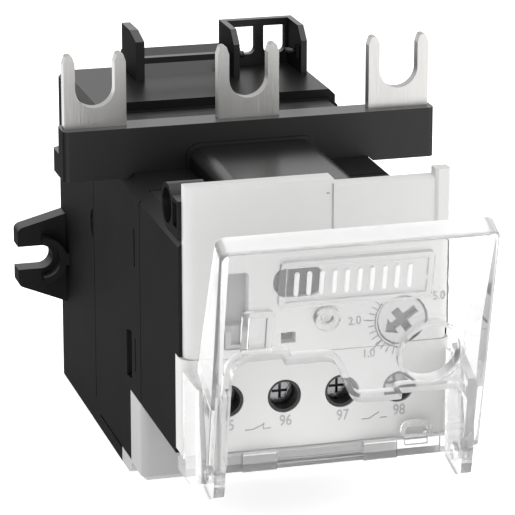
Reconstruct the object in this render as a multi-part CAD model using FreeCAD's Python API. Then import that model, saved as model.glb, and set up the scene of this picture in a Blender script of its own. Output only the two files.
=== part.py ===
"""Electronic thermal overload relay, 45 mm wide, that plugs under a contactor.

Three black housings stand one behind the other. The front one carries a light face plate with the
setting dial, reset button and test slide, the terminal face with four control screws, and a clear
hinged guard. Three copper line forks rise through a cross bar, run through the current
transformers and end at the load clamps under the housing.

All sizes are in millimetres. Shapes are drawn with X to the right, Y from the face plate to the
rear and Z up, from the middle of the face plate's foot. They are written from the middle of the
rear mounting face, level with the panel slots.
"""
import FreeCAD, Part
import math
import os
from FreeCAD import Vector

# ------------------------------------------------------------------ housings
BODY_WIDTH = 45.0
BODY_DEPTH = 92.0  # from the face plate to the rear mounting face
FRONT_SEAM = 28.5  # where the front housing meets the middle one
REAR_SEAM = 63.5  # where the middle housing meets the rear one
HOUSING_TOP = 39.8
STEP_TOP = 44.0  # the middle housing behind the cross bar
REAR_TOP = 45.5
REAR_PLATEAU_START = 65.5
HOUSING_FLOOR = 2.4
REAR_FLOOR = -13.1
FLOOR_DROP = 36.5  # depth at which the middle housing reaches down
TRAY_FRONT = 43.5  # where the rear housing's tray begins, under the middle one
TRAY_THICK = 2.8
SEAM_ROUND = 3.0
PARTITION = 46.0  # wall behind the load terminals
WALL = 1.8
REAR_WALL = 2.6
TOP_BEVEL = 2.0
REAR_BEVEL = 1.1
SEAM_GROOVE = 0.4
POCKET_DEPTH = 1.2  # the relief pockets in the rear mounting face
POCKET_RIB = 3.0

RUNNING_GAP = 0.3  # between pieces of different bodies
SEAT_GAP = 0.1  # between pieces that are clipped together
SHAFT_FIT = 0.05  # radial clearance of a shaft in its hole

# ------------------------------------------------------------------ panel ears
EAR_THICK = 4.0
EAR_REACH = 9.0
EAR_LEVEL = 11.4  # height of the slots
EAR_SLOT_WIDTH = 4.4
EAR_SLOT_ROOT = 2.5  # from the side wall to the round end of the slot
EAR_TIP_RISE = 5.6
EAR_ROOT_RISE = 8.0
EAR_TIP_DROP = 5.3
EAR_ROOT_DROP = 9.0
EAR_TIP_ROUND = 1.2
EAR_RIM = 1.1
EAR_RIM_RADIUS = 4.3
EAR_RIM_DEPTH = 3.0

# ------------------------------------------------------------------ contactor latch
LATCH_HEIGHT = 8.5
LATCH_WALL = 1.1
LATCH_FRAME_WIDTH = 13.8
LATCH_FRAME_INSET = 1.6  # from the right side wall
LATCH_FRAME_DEPTH = 10.8
LATCH_REAR_INSET = 3.2  # from the rear mounting face
LATCH_BACK_THICK = 1.6
LATCH_SLOPE = 2.4
WINDOW_SILL = 2.0
WINDOW_HEIGHT = 5.2
WINDOW_ROUND = 1.2
FIN_SPACE = 16.2  # from the fin to the frame
FIN_THICK = 1.6
FIN_DEPTH = 11.2
FIN_REAR_INSET = 1.0
CROSSBAR_SILL = 3.2
CROSSBAR_HEIGHT = 1.1
CROSSBAR_DEPTH = 1.5
RAMP_DEPTH = 8.5
RAMP_RISE = 3.3

# ------------------------------------------------------------------ power path
POLE_SPACE = 0.8  # between neighbouring transformer cores
FORK_PITCH = 26.7  # of the forks at the contactor
FORK_WIDTH = 10.7
FORK_THICK = 2.0
FORK_NOTCH = 6.8
FORK_RISE = 12.6  # above the cross bar
FORK_NOTCH_FLOOR = 3.4  # above the cross bar
FORK_TIP = 1.5
FORK_TIP_TAPER = 0.5
FORK_PLANE = 42.0  # front face of the forks
LEAD_SPACE = 5.6  # between neighbouring leads
JOG_HEIGHT = 4.0
BAR_LENGTH = 65.3
BAR_FRONT = 40.0
BAR_DEPTH = 5.2
BAR_HEIGHT = 7.8
BAR_ROUND = 1.0
BAR_WEB = 2.8
BAR_FOOT_DEPTH = 9.2
BAR_FOOT_HEIGHT = 4.0
BAR_FOOT_DROP = 0.9
TAB_LENGTH = 10.6  # below the housing floor

CORE_FRONT_LIMB = 2.8
CORE_REAR_LIMB = 4.2
CORE_BOTTOM = 14.0
CORE_HEIGHT = 10.0
CORE_WINDOW_REAR = 2.2  # behind the conductor, for the winding
WINDING_THICK = 1.6

# ------------------------------------------------------------------ load terminals
COVER_BOTTOM = -11.6
COVER_WALL = 1.6
COVER_ROUND = 1.3
COVER_FOOT_ROUND = 2.5
COVER_FOOT_LEAD = 0.5  # of the foot ahead of the middle housing
ENTRY_FRONT = 37.4  # front edge of the cable entries
LOAD_SCREW_LEVEL = -3.4
LOAD_SCREW_HOLE = 3.2
LOAD_SCREW_HEAD = 2.6
LOAD_SCREW_SHANK = 1.9
LOAD_SCREW_CAP = 2.2
CLAMP_WALL = 1.2
CLAMP_ROOM = 5.6  # for the cable, ahead of the load tab
CLAMP_TOP = 1.6
CLAMP_BOTTOM = -8.8
BARRIER = 1.2
BARRIER_SPACE = 0.5  # from a barrier to the clamps

# ------------------------------------------------------------------ face
PLATE_THICK = 2.2
PLATE_INSET = 0.6  # from the sides of the housing
PLATE_TOP = 48.2
PLATE_RIGHT_TOP = 47.0
PLATE_STEP = 3.1  # where the top edge steps down
PLATE_SPLIT = 19.5  # height of the joint to the terminal face
PLATE_FOOT = 3.4
PLATE_EDGE_ROUND = 1.6
PLATE_TOP_BEVEL = 0.4
RAIL_WIDTH = 2.5
RAIL_PROUD = 0.5
RAIL_FOOT = 38.3
LABEL_GROOVE = 0.35
RETURN_DEPTH = 2.4
RETURN_THICK = 1.2
CONTROL_HOLE = 2.8
COLLAR_WALL = 0.4
COLLAR_RECESS = 0.3
CONTROL_LEVEL = 12.1
CONTROL_MARGIN = 3.0  # of the housing's inner width, beside the terminal block
CONTROL_CENTRE = -0.8

DIAL_INSET = 8.5  # from the right edge of the plate
DIAL_LEVEL = 23.6
DIAL_RADIUS = 4.0
DIAL_THICK = 2.1
DIAL_FLANGE = 0.9
DIAL_SLOT = 1.1
DIAL_SLOT_WIDTH = 1.4
DIAL_SHAFT = 1.5
SHAFT_END = 1.5  # short of the control board
POTENTIOMETER_DEPTH = 8.0
POINTER_ANGLE = 215.0  # of the arrow at rest, from +X towards +Z
RESET_X = -3.4
RESET_LEVEL = 31.6
RESET_LENGTH = 8.6
RESET_HEIGHT = 5.0
RESET_RECESS = 0.7
RESET_STEM = 1.5
RESET_TRAVEL = 1.6
FLANGE = 0.8
FLANGE_THICK = 1.2
TEST_INSET = 6.7  # from the left edge of the plate
TEST_WIDTH = 4.1
TEST_BOTTOM = 21.0
TEST_TOP = 33.7
TEST_HEAD = 3.6
FLAG_LEFT = -6.4
FLAG_WIDTH = 2.5
FLAG_LEVEL = 21.4
FLAG_HEIGHT = 1.8
SPRING_WIRE = 0.4
SPRING_TURNS = 3

# ------------------------------------------------------------------ hood and boss
HOOD_HALF_WIDTH = 11.1
HOOD_TOP = 43.8
HOOD_BEAD = 0.5  # round its rear end
HOOD_SETBACK = 1.0  # behind the face plate
HOOD_WALL = 1.6
HOOD_ROUND = 2.5
BOSS_RADIUS = 3.7
BOSS_WALL = 0.8
BOSS_DEPTH = 9.4
BOSS_LEVEL = 42.8
BOSS_LENGTH = 6.0

# ------------------------------------------------------------------ control parts
BOARD_THICK = 1.6
CONTROL_BOARD = 24.2  # front face of the control board
POWER_BOARD = 52.1  # front face of the power board
CHIP_THICK = 1.4
PROCESSOR_SIZE = 7.0
DRIVER_WIDTH = 6.0
DRIVER_HEIGHT = 3.0
CHIP_INSET = 9.0  # from the housing's left side
DRIVER_INSET = 14.5  # from its right side
CHIP_LOW = 12.0
PROCESSOR_LEVEL = 27.0
DRIVER_LEVEL = 33.5
CAPACITOR_INSET = 11.5  # from the housing's right side
CAPACITOR_LEVEL = 28.0
CAPACITOR_RADIUS = 5.0
CAPACITOR_LENGTH = 16.0
RIBBON_WIDTH = 5.0
RIBBON_THICK = 0.5
RIBBON_DROP = 7.0  # below the housing top
BLOCK_FRONT = 4.4
BLOCK_DEPTH = 8.0
BLOCK_RISE = 5.7  # above the terminal screws
BLOCK_WALL = 1.6
STRIP_THICK = 0.8
STRIP_WIDTH = 3.0
CONTACT_HALF = 1.1
CONTACT_THICK = 0.6
TRIP_TRAVEL = 1.2
BRIDGE_THICK = 0.8
BRIDGE_OVERHANG = 1.5
CONTACT_DEPTH = 15.0
COIL_RADIUS = 4.4
COIL_BOTTOM = 24.0
COIL_HEIGHT = 9.0
COIL_FLANGE = 0.6
PLUNGER_RADIUS = 1.5
YOKE_THICK = 1.2

# ------------------------------------------------------------------ clear base and guard
BASE_FOOT = 0.2
BASE_BAR_TOP = 3.1
BASE_BAR_FRONT = -0.9
BASE_BAR_BACK = 4.4
CHEEK_THICK = 0.9
CHEEK_TOP = 17.9
CHEEK_FRONT = -12.0
PIVOT_Y = -10.3
PIVOT_Z = 4.0
PIVOT_PIN = 1.3
KNUCKLE_INNER = 7.3
KNUCKLE_OUTER = 13.0
SEAL_EYE_INSET = 3.5  # from the right end of the bar
SEAL_EYE_WIDTH = 5.4
SEAL_EYE_HEIGHT = 3.2
SEAL_EYE_WALL = 0.8
GUARD_OPEN = 24.8  # degrees from closed, as it stands at rest
GUARD_REAR = -1.9  # rear edge of the closed guard
GUARD_TOP = 46.2
GUARD_TOP_DEPTH = 3.6
GUARD_LEAN = 12.7  # degrees that the closed front panel leans back
GUARD_INSET = 0.2  # from the sides of the housing
GUARD_WALL = 1.5
GUARD_CORNER = 0.9
GUARD_ROUND = 1.6  # of the upper corners, seen from the front
LEG_THICK = 1.8
SHOULDER = 5.0  # height of the panel's lower corners along the panel, from its foot
PAD_INSET = 9.3  # from the guard's left side
PAD_WIDTH = 24.5
PAD_LOW = 33.6
PAD_HIGH = 41.6
PAD_PROUD = 0.9
PAD_RIM = 1.0
PAD_FLOOR = 0.3
POCKET_INSET = 3.8  # from the guard's left side
POCKET_WIDTH = 4.9
POCKET_LOW = 25.9
POCKET_HIGH = 33.4
GUARD_BOSS_X = -5.1
GUARD_BOSS_HIGH = 31.3
GUARD_BOSS_RADIUS = 2.0
RING_INSET = 9.9  # from the guard's right side
RING_HIGH = 23.3
RING_RADIUS = 5.5
RING_WALL = 0.6
CUT_INSET = 2.9  # from the guard's sides
CUT_HIGH = 23.1
CUT_NOTCH = 1.2
CUT_NOTCH_X = -11.0
CUT_STEP_X = -1.2
CUT_STEP_WIDTH = 1.6
CUT_LOW = 15.0
CUT_LIP_X = 8.4
CUT_ROUND = 3.0
CUT_RIM = 1.0
CUT_RIM_DEPTH = 1.3

HALF = BODY_WIDTH / 2
POLES = {"left": -1, "center": 0, "right": 1}
INSIDE = HALF - WALL
POLE_PITCH = (2 * INSIDE - 2 * RUNNING_GAP) / 3
CORE_WIDTH = POLE_PITCH - POLE_SPACE
LEAD_WIDTH = POLE_PITCH - LEAD_SPACE
CONTROL_PITCH = (2 * INSIDE - CONTROL_MARGIN) / 4
COIL_DEPTH = CONTROL_BOARD - YOKE_THICK - COIL_RADIUS - COIL_FLANGE
CAPACITOR_X = HALF - CAPACITOR_INSET
CHIP_LEFT = CHIP_INSET - HALF
CHIP_RIGHT = HALF - DRIVER_INSET
DIAL_X = HALF - DIAL_INSET
TEST_LEFT = -HALF + TEST_INSET
GUARD_HALF_WIDTH = HALF - GUARD_INSET
LATCH_RIGHT = HALF - LATCH_FRAME_INSET
LATCH_LEFT = LATCH_RIGHT - LATCH_FRAME_WIDTH
FIN_LEFT = LATCH_LEFT - FIN_SPACE - FIN_THICK
LATCH_BACK = BODY_DEPTH - LATCH_REAR_INSET - LATCH_BACK_THICK
LATCH_FRONT = BODY_DEPTH - LATCH_REAR_INSET - LATCH_FRAME_DEPTH
FIN_FRONT = BODY_DEPTH - FIN_REAR_INSET - FIN_DEPTH
CONTROL_XS = [CONTROL_CENTRE + CONTROL_PITCH * step for step in (-1.5, -0.5, 0.5, 1.5)]
AXES = {"x": Vector(1, 0, 0), "y": Vector(0, 1, 0), "z": Vector(0, 0, 1)}


# ------------------------------------------------------------------ drawing helpers
def point(axis, along, a, b):
    """A point at a distance along an axis; a and b are the other two coordinates, in X, Y, Z order."""
    return {"x": Vector(along, a, b), "y": Vector(a, along, b), "z": Vector(a, b, along)}[axis]


def box(x0, x1, y0, y1, z0, z1):
    return Part.makeBox(x1 - x0, y1 - y0, z1 - z0, Vector(x0, y0, z0))


def rod(axis, a, b, start, end, radius):
    """A cylinder along an axis, from start to end."""
    return Part.makeCylinder(radius, end - start, point(axis, start, a, b), AXES[axis])


def prism(axis, outline, start, end):
    """A closed outline of (a, b) points, carried along an axis from start to end."""
    corners = [point(axis, start, a, b) for a, b in outline]
    face = Part.Face(Part.makePolygon(corners + corners[:1]))
    return face.extrude(AXES[axis] * (end - start))


def slot(axis, a0, a1, b, half, start, end):
    """A round-ended bar along the first cross direction, its ends reaching a0 and a1."""
    ends = [rod(axis, a, b, start, end, half) for a in (a0 + half, a1 - half)]
    middle = [(a0 + half, b - half), (a1 - half, b - half), (a1 - half, b + half), (a0 + half, b + half)]
    return join(ends + [prism(axis, middle, start, end)])


def join(shapes):
    whole = shapes[0].fuse(shapes[1:]) if len(shapes) > 1 else shapes[0]
    return whole.removeSplitter()


def mirror(shape):
    """The same shape on the other side of the middle plane."""
    return shape.mirror(Vector(0, 0, 0), AXES["x"])


def both(shape):
    return [shape, mirror(shape)]


def edges_along(shape, axis, wanted):
    """Straight edges parallel to an axis whose middle passes the wanted test."""
    found = []
    for edge in shape.Edges:
        if edge.Curve.TypeId != "Part::GeomLine":
            continue
        middle = edge.valueAt((edge.FirstParameter + edge.LastParameter) / 2)
        if abs(abs(edge.Curve.Direction.dot(AXES[axis])) - 1) < 1e-6 and wanted(middle):
            found.append(edge)
    return found


def rounded(shape, axis, radius, wanted=lambda middle: True):
    return shape.makeFillet(radius, edges_along(shape, axis, wanted))


def bevelled(shape, axis, size, wanted=lambda middle: True):
    return shape.makeChamfer(size, edges_along(shape, axis, wanted))


def top_bevel(side, top, y0, y1, size):
    """The wedge that bevels a top edge running from front to rear; side is -1 or 1."""
    edge = side * HALF
    out = edge + side
    outline = [(edge - side * size, top), (edge, top - size), (out, top - size), (out, top + 1)]
    return prism("y", outline + [(edge - side * size, top + 1)], y0, y1)


def top_bevels(top, y0, y1, size):
    return [top_bevel(side, top, y0, y1, size) for side in (-1, 1)]


def groove_round(y, top, floor):
    """The shallow groove that marks the seam in front of a housing."""
    outer = box(-HALF - 1, HALF + 1, y, y + SEAM_GROOVE, floor - 1, top + 1)
    inset = HALF - SEAM_GROOVE
    return outer.cut(box(-inset, inset, y, y + SEAM_GROOVE, floor + SEAM_GROOVE, top - SEAM_GROOVE))


# ------------------------------------------------------------------ housings
def front_housing():
    shell = box(-HALF, HALF, PLATE_THICK, FRONT_SEAM, HOUSING_FLOOR, HOUSING_TOP)
    shell = shell.cut(top_bevels(HOUSING_TOP, 0, FRONT_SEAM, TOP_BEVEL))
    inside = HALF - WALL
    shell = shell.cut(box(-inside, inside, 0, FRONT_SEAM, HOUSING_FLOOR + WALL, HOUSING_TOP - WALL))
    recess = box(-HALF, -HALF + RETURN_THICK, 0, PLATE_THICK + RETURN_DEPTH, HOUSING_FLOOR, PLATE_SPLIT)
    shell = shell.cut(both(recess) + wire_entries())
    return join([shell, reset_rib()]).cut(socket_outline())


def wire_entries():
    """Windows in the floor, under the pockets of the control terminals."""
    half = (CONTROL_PITCH - BLOCK_WALL) / 2 - 0.6
    y0 = BASE_BAR_BACK + RUNNING_GAP
    return [box(x - half, x + half, y0, y0 + 3.8, HOUSING_FLOOR, HOUSING_FLOOR + WALL) for x in CONTROL_XS]


def socket_outline():
    """The round accessory socket at the left end of the housing top, with its square web, solid."""
    end = -HALF + BOSS_LENGTH
    ring = rod("x", BOSS_DEPTH, BOSS_LEVEL, -HALF, end, BOSS_RADIUS)
    web = box(-HALF, end, PLATE_THICK, BOSS_DEPTH, HOUSING_TOP - WALL / 2, BOSS_LEVEL + BOSS_RADIUS - 1.2)
    return join([ring, web])


def side_socket():
    """The socket itself, with its bore and the recess in its web."""
    radius = BOSS_RADIUS - BOSS_WALL
    bore = rod("x", BOSS_DEPTH, BOSS_LEVEL, -HALF, -HALF + BOSS_LENGTH - BOSS_WALL, radius)
    web_end = BOSS_DEPTH - BOSS_RADIUS
    recess = box(-HALF, -HALF + BOSS_WALL * 2, PLATE_THICK + BOSS_WALL, web_end,
                 HOUSING_TOP + BOSS_WALL, BOSS_LEVEL + 1.8)
    return socket_outline().cut([bore, recess])


def reset_rib():
    """The rib that guides the reset stem, hanging from the housing top."""
    half = RESET_LENGTH / 2
    y0 = stem_rib_front()
    low = RESET_LEVEL - RESET_STEM - WALL
    rib = box(RESET_X - half, RESET_X + half, y0, y0 + WALL, low, HOUSING_TOP - WALL)
    hole = rod("y", RESET_X, RESET_LEVEL, y0, y0 + WALL, RESET_STEM + SHAFT_FIT)
    return rib.cut(hole)


def stem_rib_front():
    return flange_front() + FLANGE_THICK + RESET_TRAVEL + SPRING_WIRE * 2 * SPRING_TURNS


def flange_front():
    """Depth of the flanges of everything that sits behind the face plate."""
    return PLATE_THICK + RUNNING_GAP


def middle_profile(inset):
    """Side outline of the middle housing, moved in by a wall."""
    drop = (PARTITION + inset) if inset else FLOOR_DROP
    step = bar_back() + SEAT_GAP + inset
    low, floor = tray_top() + inset, HOUSING_FLOOR + inset
    top, high = HOUSING_TOP - inset, STEP_TOP - inset
    front = [(FRONT_SEAM, floor), (drop, floor), (drop, low), (REAR_SEAM, low)]
    return front + [(REAR_SEAM, high), (step, high), (step, top), (FRONT_SEAM, top)]


def tray_top():
    """Height of the joint between the middle housing and the tray under it."""
    return REAR_FLOOR + TRAY_THICK


def middle_housing():
    shell = prism("x", middle_profile(0), -HALF, HALF)
    shell = rounded(shell, "x", SEAM_ROUND, lambda m: m.z < tray_top() + 0.01 and m.y > TRAY_FRONT)
    step = bar_back() + SEAT_GAP
    bevels = top_bevels(HOUSING_TOP, FRONT_SEAM, step, TOP_BEVEL)
    bevels += top_bevels(STEP_TOP, step, REAR_SEAM, TOP_BEVEL)
    shell = shell.cut(bevels + [groove_round(FRONT_SEAM, HOUSING_TOP, HOUSING_FLOOR)])
    inside = prism("x", middle_profile(WALL), -INSIDE, INSIDE)
    inside = rounded(inside, "x", SEAM_ROUND - WALL,
                     lambda m: m.z < tray_top() + WALL + 0.01 and m.y > REAR_SEAM - 1)
    terminals = box(-INSIDE, INSIDE, FLOOR_DROP, PARTITION, tray_top(), HOUSING_FLOOR)
    return shell.cut([inside, terminals] + lead_slots() + side_windows())


def lead_slots():
    """Slots where the conductors come in through the roof and leave through the floor."""
    slots = []
    half = LEAD_WIDTH / 2 + SEAT_GAP
    for side in POLES.values():
        x = side * POLE_PITCH
        roof = (FORK_PLANE - SEAT_GAP, FORK_PLANE + FORK_THICK + SEAT_GAP)
        slots.append(box(x - half, x + half, *roof, HOUSING_TOP - WALL, HOUSING_TOP))
        slots.append(box(x - half, x + half, *roof, HOUSING_FLOOR, HOUSING_FLOOR + WALL))
    return slots


def side_windows():
    """The snap windows behind the front seam, in both side walls."""
    y = FRONT_SEAM + 3.7
    floor = HOUSING_FLOOR + WALL
    slit = box(-HALF, -HALF + WALL, y, y + 0.9, floor + 21.3, floor + 27.9)
    thin = box(-HALF, -HALF + WALL, y, y + 0.7, floor + 2.7, floor + 8.7)
    slanted = [(y + 3.0, floor + 0.6), (y + 6.8, floor + 0.2), (y + 6.8, floor + 8.4),
               (y + 3.0, floor + 9.2)]
    wide = prism("x", slanted, -HALF, -HALF + WALL)
    return [half for window in (slit, thin, wide) for half in both(window)]


def rear_housing():
    shell = join([box(-HALF, HALF, REAR_SEAM, BODY_DEPTH, REAR_FLOOR, REAR_TOP), rear_tray()])
    shell = shell.cut(box(-HALF, HALF, REAR_SEAM, REAR_PLATEAU_START, STEP_TOP, REAR_TOP + 1))
    bevels = top_bevels(REAR_TOP, REAR_PLATEAU_START, BODY_DEPTH, REAR_BEVEL)
    bevels += top_bevels(STEP_TOP, REAR_SEAM, REAR_PLATEAU_START, REAR_BEVEL)
    shell = shell.cut(bevels + [groove_round(REAR_SEAM, STEP_TOP, tray_top() + SEAM_ROUND)])
    hollow = box(-INSIDE, INSIDE, REAR_SEAM, BODY_DEPTH - REAR_WALL, REAR_FLOOR + WALL, STEP_TOP - WALL)
    shell = shell.cut([hollow] + thumb_recesses())
    shell = join([shell] + both(ear()))
    return shell.cut(rear_pockets())


def rear_tray():
    """The tray that reaches forward under the middle housing, and the round corner over it."""
    tray = box(-HALF, HALF, TRAY_FRONT, REAR_SEAM, REAR_FLOOR, tray_top())
    corner = box(-HALF, HALF, REAR_SEAM - SEAM_ROUND, REAR_SEAM, tray_top(), tray_top() + SEAM_ROUND)
    bend = rod("x", REAR_SEAM - SEAM_ROUND, tray_top() + SEAM_ROUND, -HALF, HALF, SEAM_ROUND)
    groove = box(-HALF, -HALF + SEAM_GROOVE, TRAY_FRONT, REAR_SEAM - SEAM_ROUND, tray_top() - SEAM_GROOVE,
                 tray_top())
    return join([tray, corner.cut(bend)]).cut(both(groove))


def thumb_recesses():
    """Half-round finger recesses in both side walls, behind the rear seam."""
    disc = rod("x", REAR_SEAM, EAR_LEVEL * 2 + 1.3, -HALF, -HALF + WALL / 2, 3.0)
    half_plane = box(-HALF, 0, REAR_SEAM + 1.0, REAR_SEAM + 6, REAR_FLOOR, REAR_TOP)
    return both(disc.common(half_plane))


def ear():
    """The left panel ear, with a slot that is open at its tip."""
    root, tip = -HALF, -HALF - EAR_REACH
    front = BODY_DEPTH - EAR_THICK
    outline = [(root + WALL, EAR_LEVEL + EAR_ROOT_RISE), (root, EAR_LEVEL + EAR_ROOT_RISE)]
    outline += [(tip, EAR_LEVEL + EAR_TIP_RISE), (tip, EAR_LEVEL - EAR_TIP_DROP)]
    outline += [(root, EAR_LEVEL - EAR_ROOT_DROP), (root + WALL, EAR_LEVEL - EAR_ROOT_DROP)]
    plate = prism("y", outline, front, BODY_DEPTH)
    plate = rounded(plate, "y", EAR_TIP_ROUND, lambda middle: middle.x < tip + 0.01)
    slot_half = EAR_SLOT_WIDTH / 2
    slot_end = root - EAR_SLOT_ROOT
    opening = slot("y", tip - EAR_REACH, slot_end, EAR_LEVEL, slot_half, 0, BODY_DEPTH + 1)
    centre = slot_end - slot_half
    rim = rod("y", centre, EAR_LEVEL, front - EAR_RIM_DEPTH, front, EAR_RIM_RADIUS)
    rim = rim.cut(rod("y", centre, EAR_LEVEL, 0, front, EAR_RIM_RADIUS - EAR_RIM))
    rim = rim.common(box(centre, root + WALL, 0, BODY_DEPTH, REAR_FLOOR, REAR_TOP))
    bridge = box(centre + EAR_RIM_RADIUS - EAR_RIM, root + WALL, front - EAR_RIM_DEPTH, front,
                 EAR_LEVEL - EAR_RIM, EAR_LEVEL + EAR_RIM)
    return join([plate, rim, bridge]).cut(opening)


def rear_pockets():
    """Relief pockets in the rear mounting face, with ribs and a rim between them."""
    pockets = []
    edge = HALF - POCKET_RIB
    low, high = REAR_FLOOR + POCKET_RIB, REAR_TOP - POCKET_RIB
    middle = [EAR_LEVEL - POCKET_RIB / 2, EAR_LEVEL + POCKET_RIB / 2]
    for z0, z1 in ((low, middle[0]), (middle[1], high)):
        pockets += both(box(POCKET_RIB / 2, edge, BODY_DEPTH - POCKET_DEPTH, BODY_DEPTH, z0, z1))
    return pockets


# ------------------------------------------------------------------ contactor latch
def contactor_latch():
    """The frame, fin and cross bar on the rear housing that hook into the contactor."""
    top = REAR_TOP + LATCH_HEIGHT
    frame = latch_frame(top)
    fin = fin_plate(top)
    bar_low = REAR_TOP + CROSSBAR_SILL
    bar_right = LATCH_LEFT + LATCH_WALL
    bar = box(FIN_LEFT, bar_right, FIN_FRONT, FIN_FRONT + CROSSBAR_DEPTH, bar_low,
              bar_low + CROSSBAR_HEIGHT)
    slope = [(BODY_DEPTH - RAMP_DEPTH, REAR_TOP), (BODY_DEPTH, REAR_TOP),
             (BODY_DEPTH, REAR_TOP + RAMP_RISE)]
    ramp = prism("x", slope, FIN_LEFT, LATCH_LEFT + LATCH_WALL)
    return join([frame, fin, bar, ramp])


def latch_frame(top):
    left, right = LATCH_LEFT, LATCH_RIGHT
    back = LATCH_BACK + LATCH_BACK_THICK
    wall = box(left, right, LATCH_BACK, back, REAR_TOP, top)
    side = [(LATCH_FRONT, REAR_TOP), (back, REAR_TOP), (back, top)]
    side += [(LATCH_FRONT + LATCH_SLOPE, top), (LATCH_FRONT, top - LATCH_SLOPE)]
    cheeks = [prism("x", side, x, x + LATCH_WALL) for x in (left, right - LATCH_WALL)]
    bumps = [rod("z", x, LATCH_FRONT + 2, REAR_TOP + 2.5, REAR_TOP + 5, 0.6)
             for x in (left + LATCH_WALL, right - LATCH_WALL)]
    return join([wall] + cheeks + bumps).cut(latch_windows())


def latch_windows():
    """A wide and a narrow window through the back wall, with round lower corners."""
    windows = []
    sill = REAR_TOP + WINDOW_SILL
    clear = LATCH_RIGHT - LATCH_LEFT - 2 * LATCH_WALL
    first = LATCH_LEFT + LATCH_WALL + 0.2
    second = first + clear * 0.45 + 1.6
    for x, width in ((first, clear * 0.45), (second, clear * 0.35)):
        window = box(x, x + width, LATCH_BACK, LATCH_BACK + LATCH_BACK_THICK, sill, sill + WINDOW_HEIGHT)
        windows.append(rounded(window, "y", WINDOW_ROUND, lambda middle: middle.z < sill + 0.01))
    return windows


def fin_plate(top):
    side = [(FIN_FRONT, REAR_TOP), (BODY_DEPTH - FIN_REAR_INSET, REAR_TOP),
            (BODY_DEPTH - FIN_REAR_INSET, top)]
    side += [(FIN_FRONT + LATCH_SLOPE * 2, top), (FIN_FRONT, top - LATCH_SLOPE / 2)]
    return prism("x", side, FIN_LEFT, FIN_LEFT + FIN_THICK)


# ------------------------------------------------------------------ cross bar and power path
def bar_back():
    return BAR_FRONT + BAR_DEPTH


def bar_top():
    return HOUSING_TOP + BAR_HEIGHT


def terminal_bar():
    """The cross bar that carries the forks, hollow from below, with a foot at each end."""
    half = BAR_LENGTH / 2
    beam = box(-half, half, BAR_FRONT, bar_back(), HOUSING_TOP, bar_top())
    foot_low = HOUSING_TOP - BAR_FOOT_DROP
    foot = box(-half, -HALF - SEAT_GAP, BAR_FRONT, BAR_FRONT + BAR_FOOT_DEPTH,
               foot_low, foot_low + BAR_FOOT_HEIGHT)
    inner = -HALF + TOP_BEVEL - SEAT_GAP * 2
    lip = [(-HALF - SEAT_GAP, foot_low), (inner - BAR_FOOT_DROP, foot_low), (inner, HOUSING_TOP)]
    lip = prism("y", lip + [(-HALF - SEAT_GAP, HOUSING_TOP)], BAR_FRONT, bar_back())
    bar = join([beam] + both(foot) + both(lip))
    bar = rounded(bar, "z", BAR_ROUND, lambda middle: abs(middle.x) > half - 0.01)
    return bar.cut(bar_hollows())


def bar_hollows():
    """The channel for the sideways runs of the outer conductors, and the slots for the forks."""
    y0, y1 = FORK_PLANE - SEAT_GAP, FORK_PLANE + FORK_THICK + SEAT_GAP
    reach = FORK_PITCH + FORK_WIDTH / 2 + SEAT_GAP
    hollows = [box(-reach, reach, y0, y1, HOUSING_TOP, bar_top() - BAR_WEB)]
    half = FORK_WIDTH / 2 + SEAT_GAP
    for side in POLES.values():
        x = side * FORK_PITCH
        hollows.append(box(x - half, x + half, y0, y1, HOUSING_TOP, bar_top()))
    return hollows


def fork(x):
    """The upper end of a conductor: a flat fork with a round-bottomed notch and tapered tips."""
    half, notch = FORK_WIDTH / 2, FORK_NOTCH / 2
    tip, shoulder = bar_top() + FORK_RISE, bar_top() + FORK_RISE - FORK_TIP
    low = bar_top() - BAR_WEB
    outline = [(x - half, low), (x + half, low), (x + half, shoulder), (x + half - FORK_TIP_TAPER, tip)]
    outline += [(x + notch + FORK_TIP_TAPER, tip), (x + notch, shoulder), (x - notch, shoulder)]
    outline += [(x - notch - FORK_TIP_TAPER, tip), (x - half + FORK_TIP_TAPER, tip), (x - half, shoulder)]
    back = FORK_PLANE + FORK_THICK
    blade = rounded(prism("y", outline, FORK_PLANE, back), "y", FORK_TIP_TAPER, lambda m: m.z > tip - 0.01)
    notch_floor = bar_top() + FORK_NOTCH_FLOOR + notch
    cut = rod("y", x, notch_floor, FORK_PLANE, back, notch)
    return blade.cut([cut, box(x - notch, x + notch, FORK_PLANE, back, notch_floor, tip)])


def line_bar(side):
    """One conductor, cut from flat bar: fork, sideways run, lead and load tab."""
    fork_x, lead_x = side * FORK_PITCH, side * POLE_PITCH
    back = FORK_PLANE + FORK_THICK
    half = LEAD_WIDTH / 2
    jog_low, jog_high = HOUSING_TOP + SEAT_GAP, bar_top() - BAR_WEB
    left = min(fork_x - FORK_WIDTH / 2, lead_x - half)
    right = max(fork_x + FORK_WIDTH / 2, lead_x + half)
    jog = box(left, right, FORK_PLANE, back, jog_low, min(jog_low + JOG_HEIGHT, jog_high))
    neck = box(fork_x - FORK_WIDTH / 2, fork_x + FORK_WIDTH / 2, FORK_PLANE, back, jog_low, jog_high)
    lead = box(lead_x - half, lead_x + half, FORK_PLANE, back, HOUSING_FLOOR - TAB_LENGTH, jog_low)
    return join([fork(fork_x), neck, jog, lead])


def core_span():
    """Front and rear faces of a transformer core, and of its window."""
    window = (FORK_PLANE - RUNNING_GAP, FORK_PLANE + FORK_THICK + CORE_WINDOW_REAR)
    return window[0] - CORE_FRONT_LIMB, window[0], window[1], window[1] + CORE_REAR_LIMB


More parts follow.
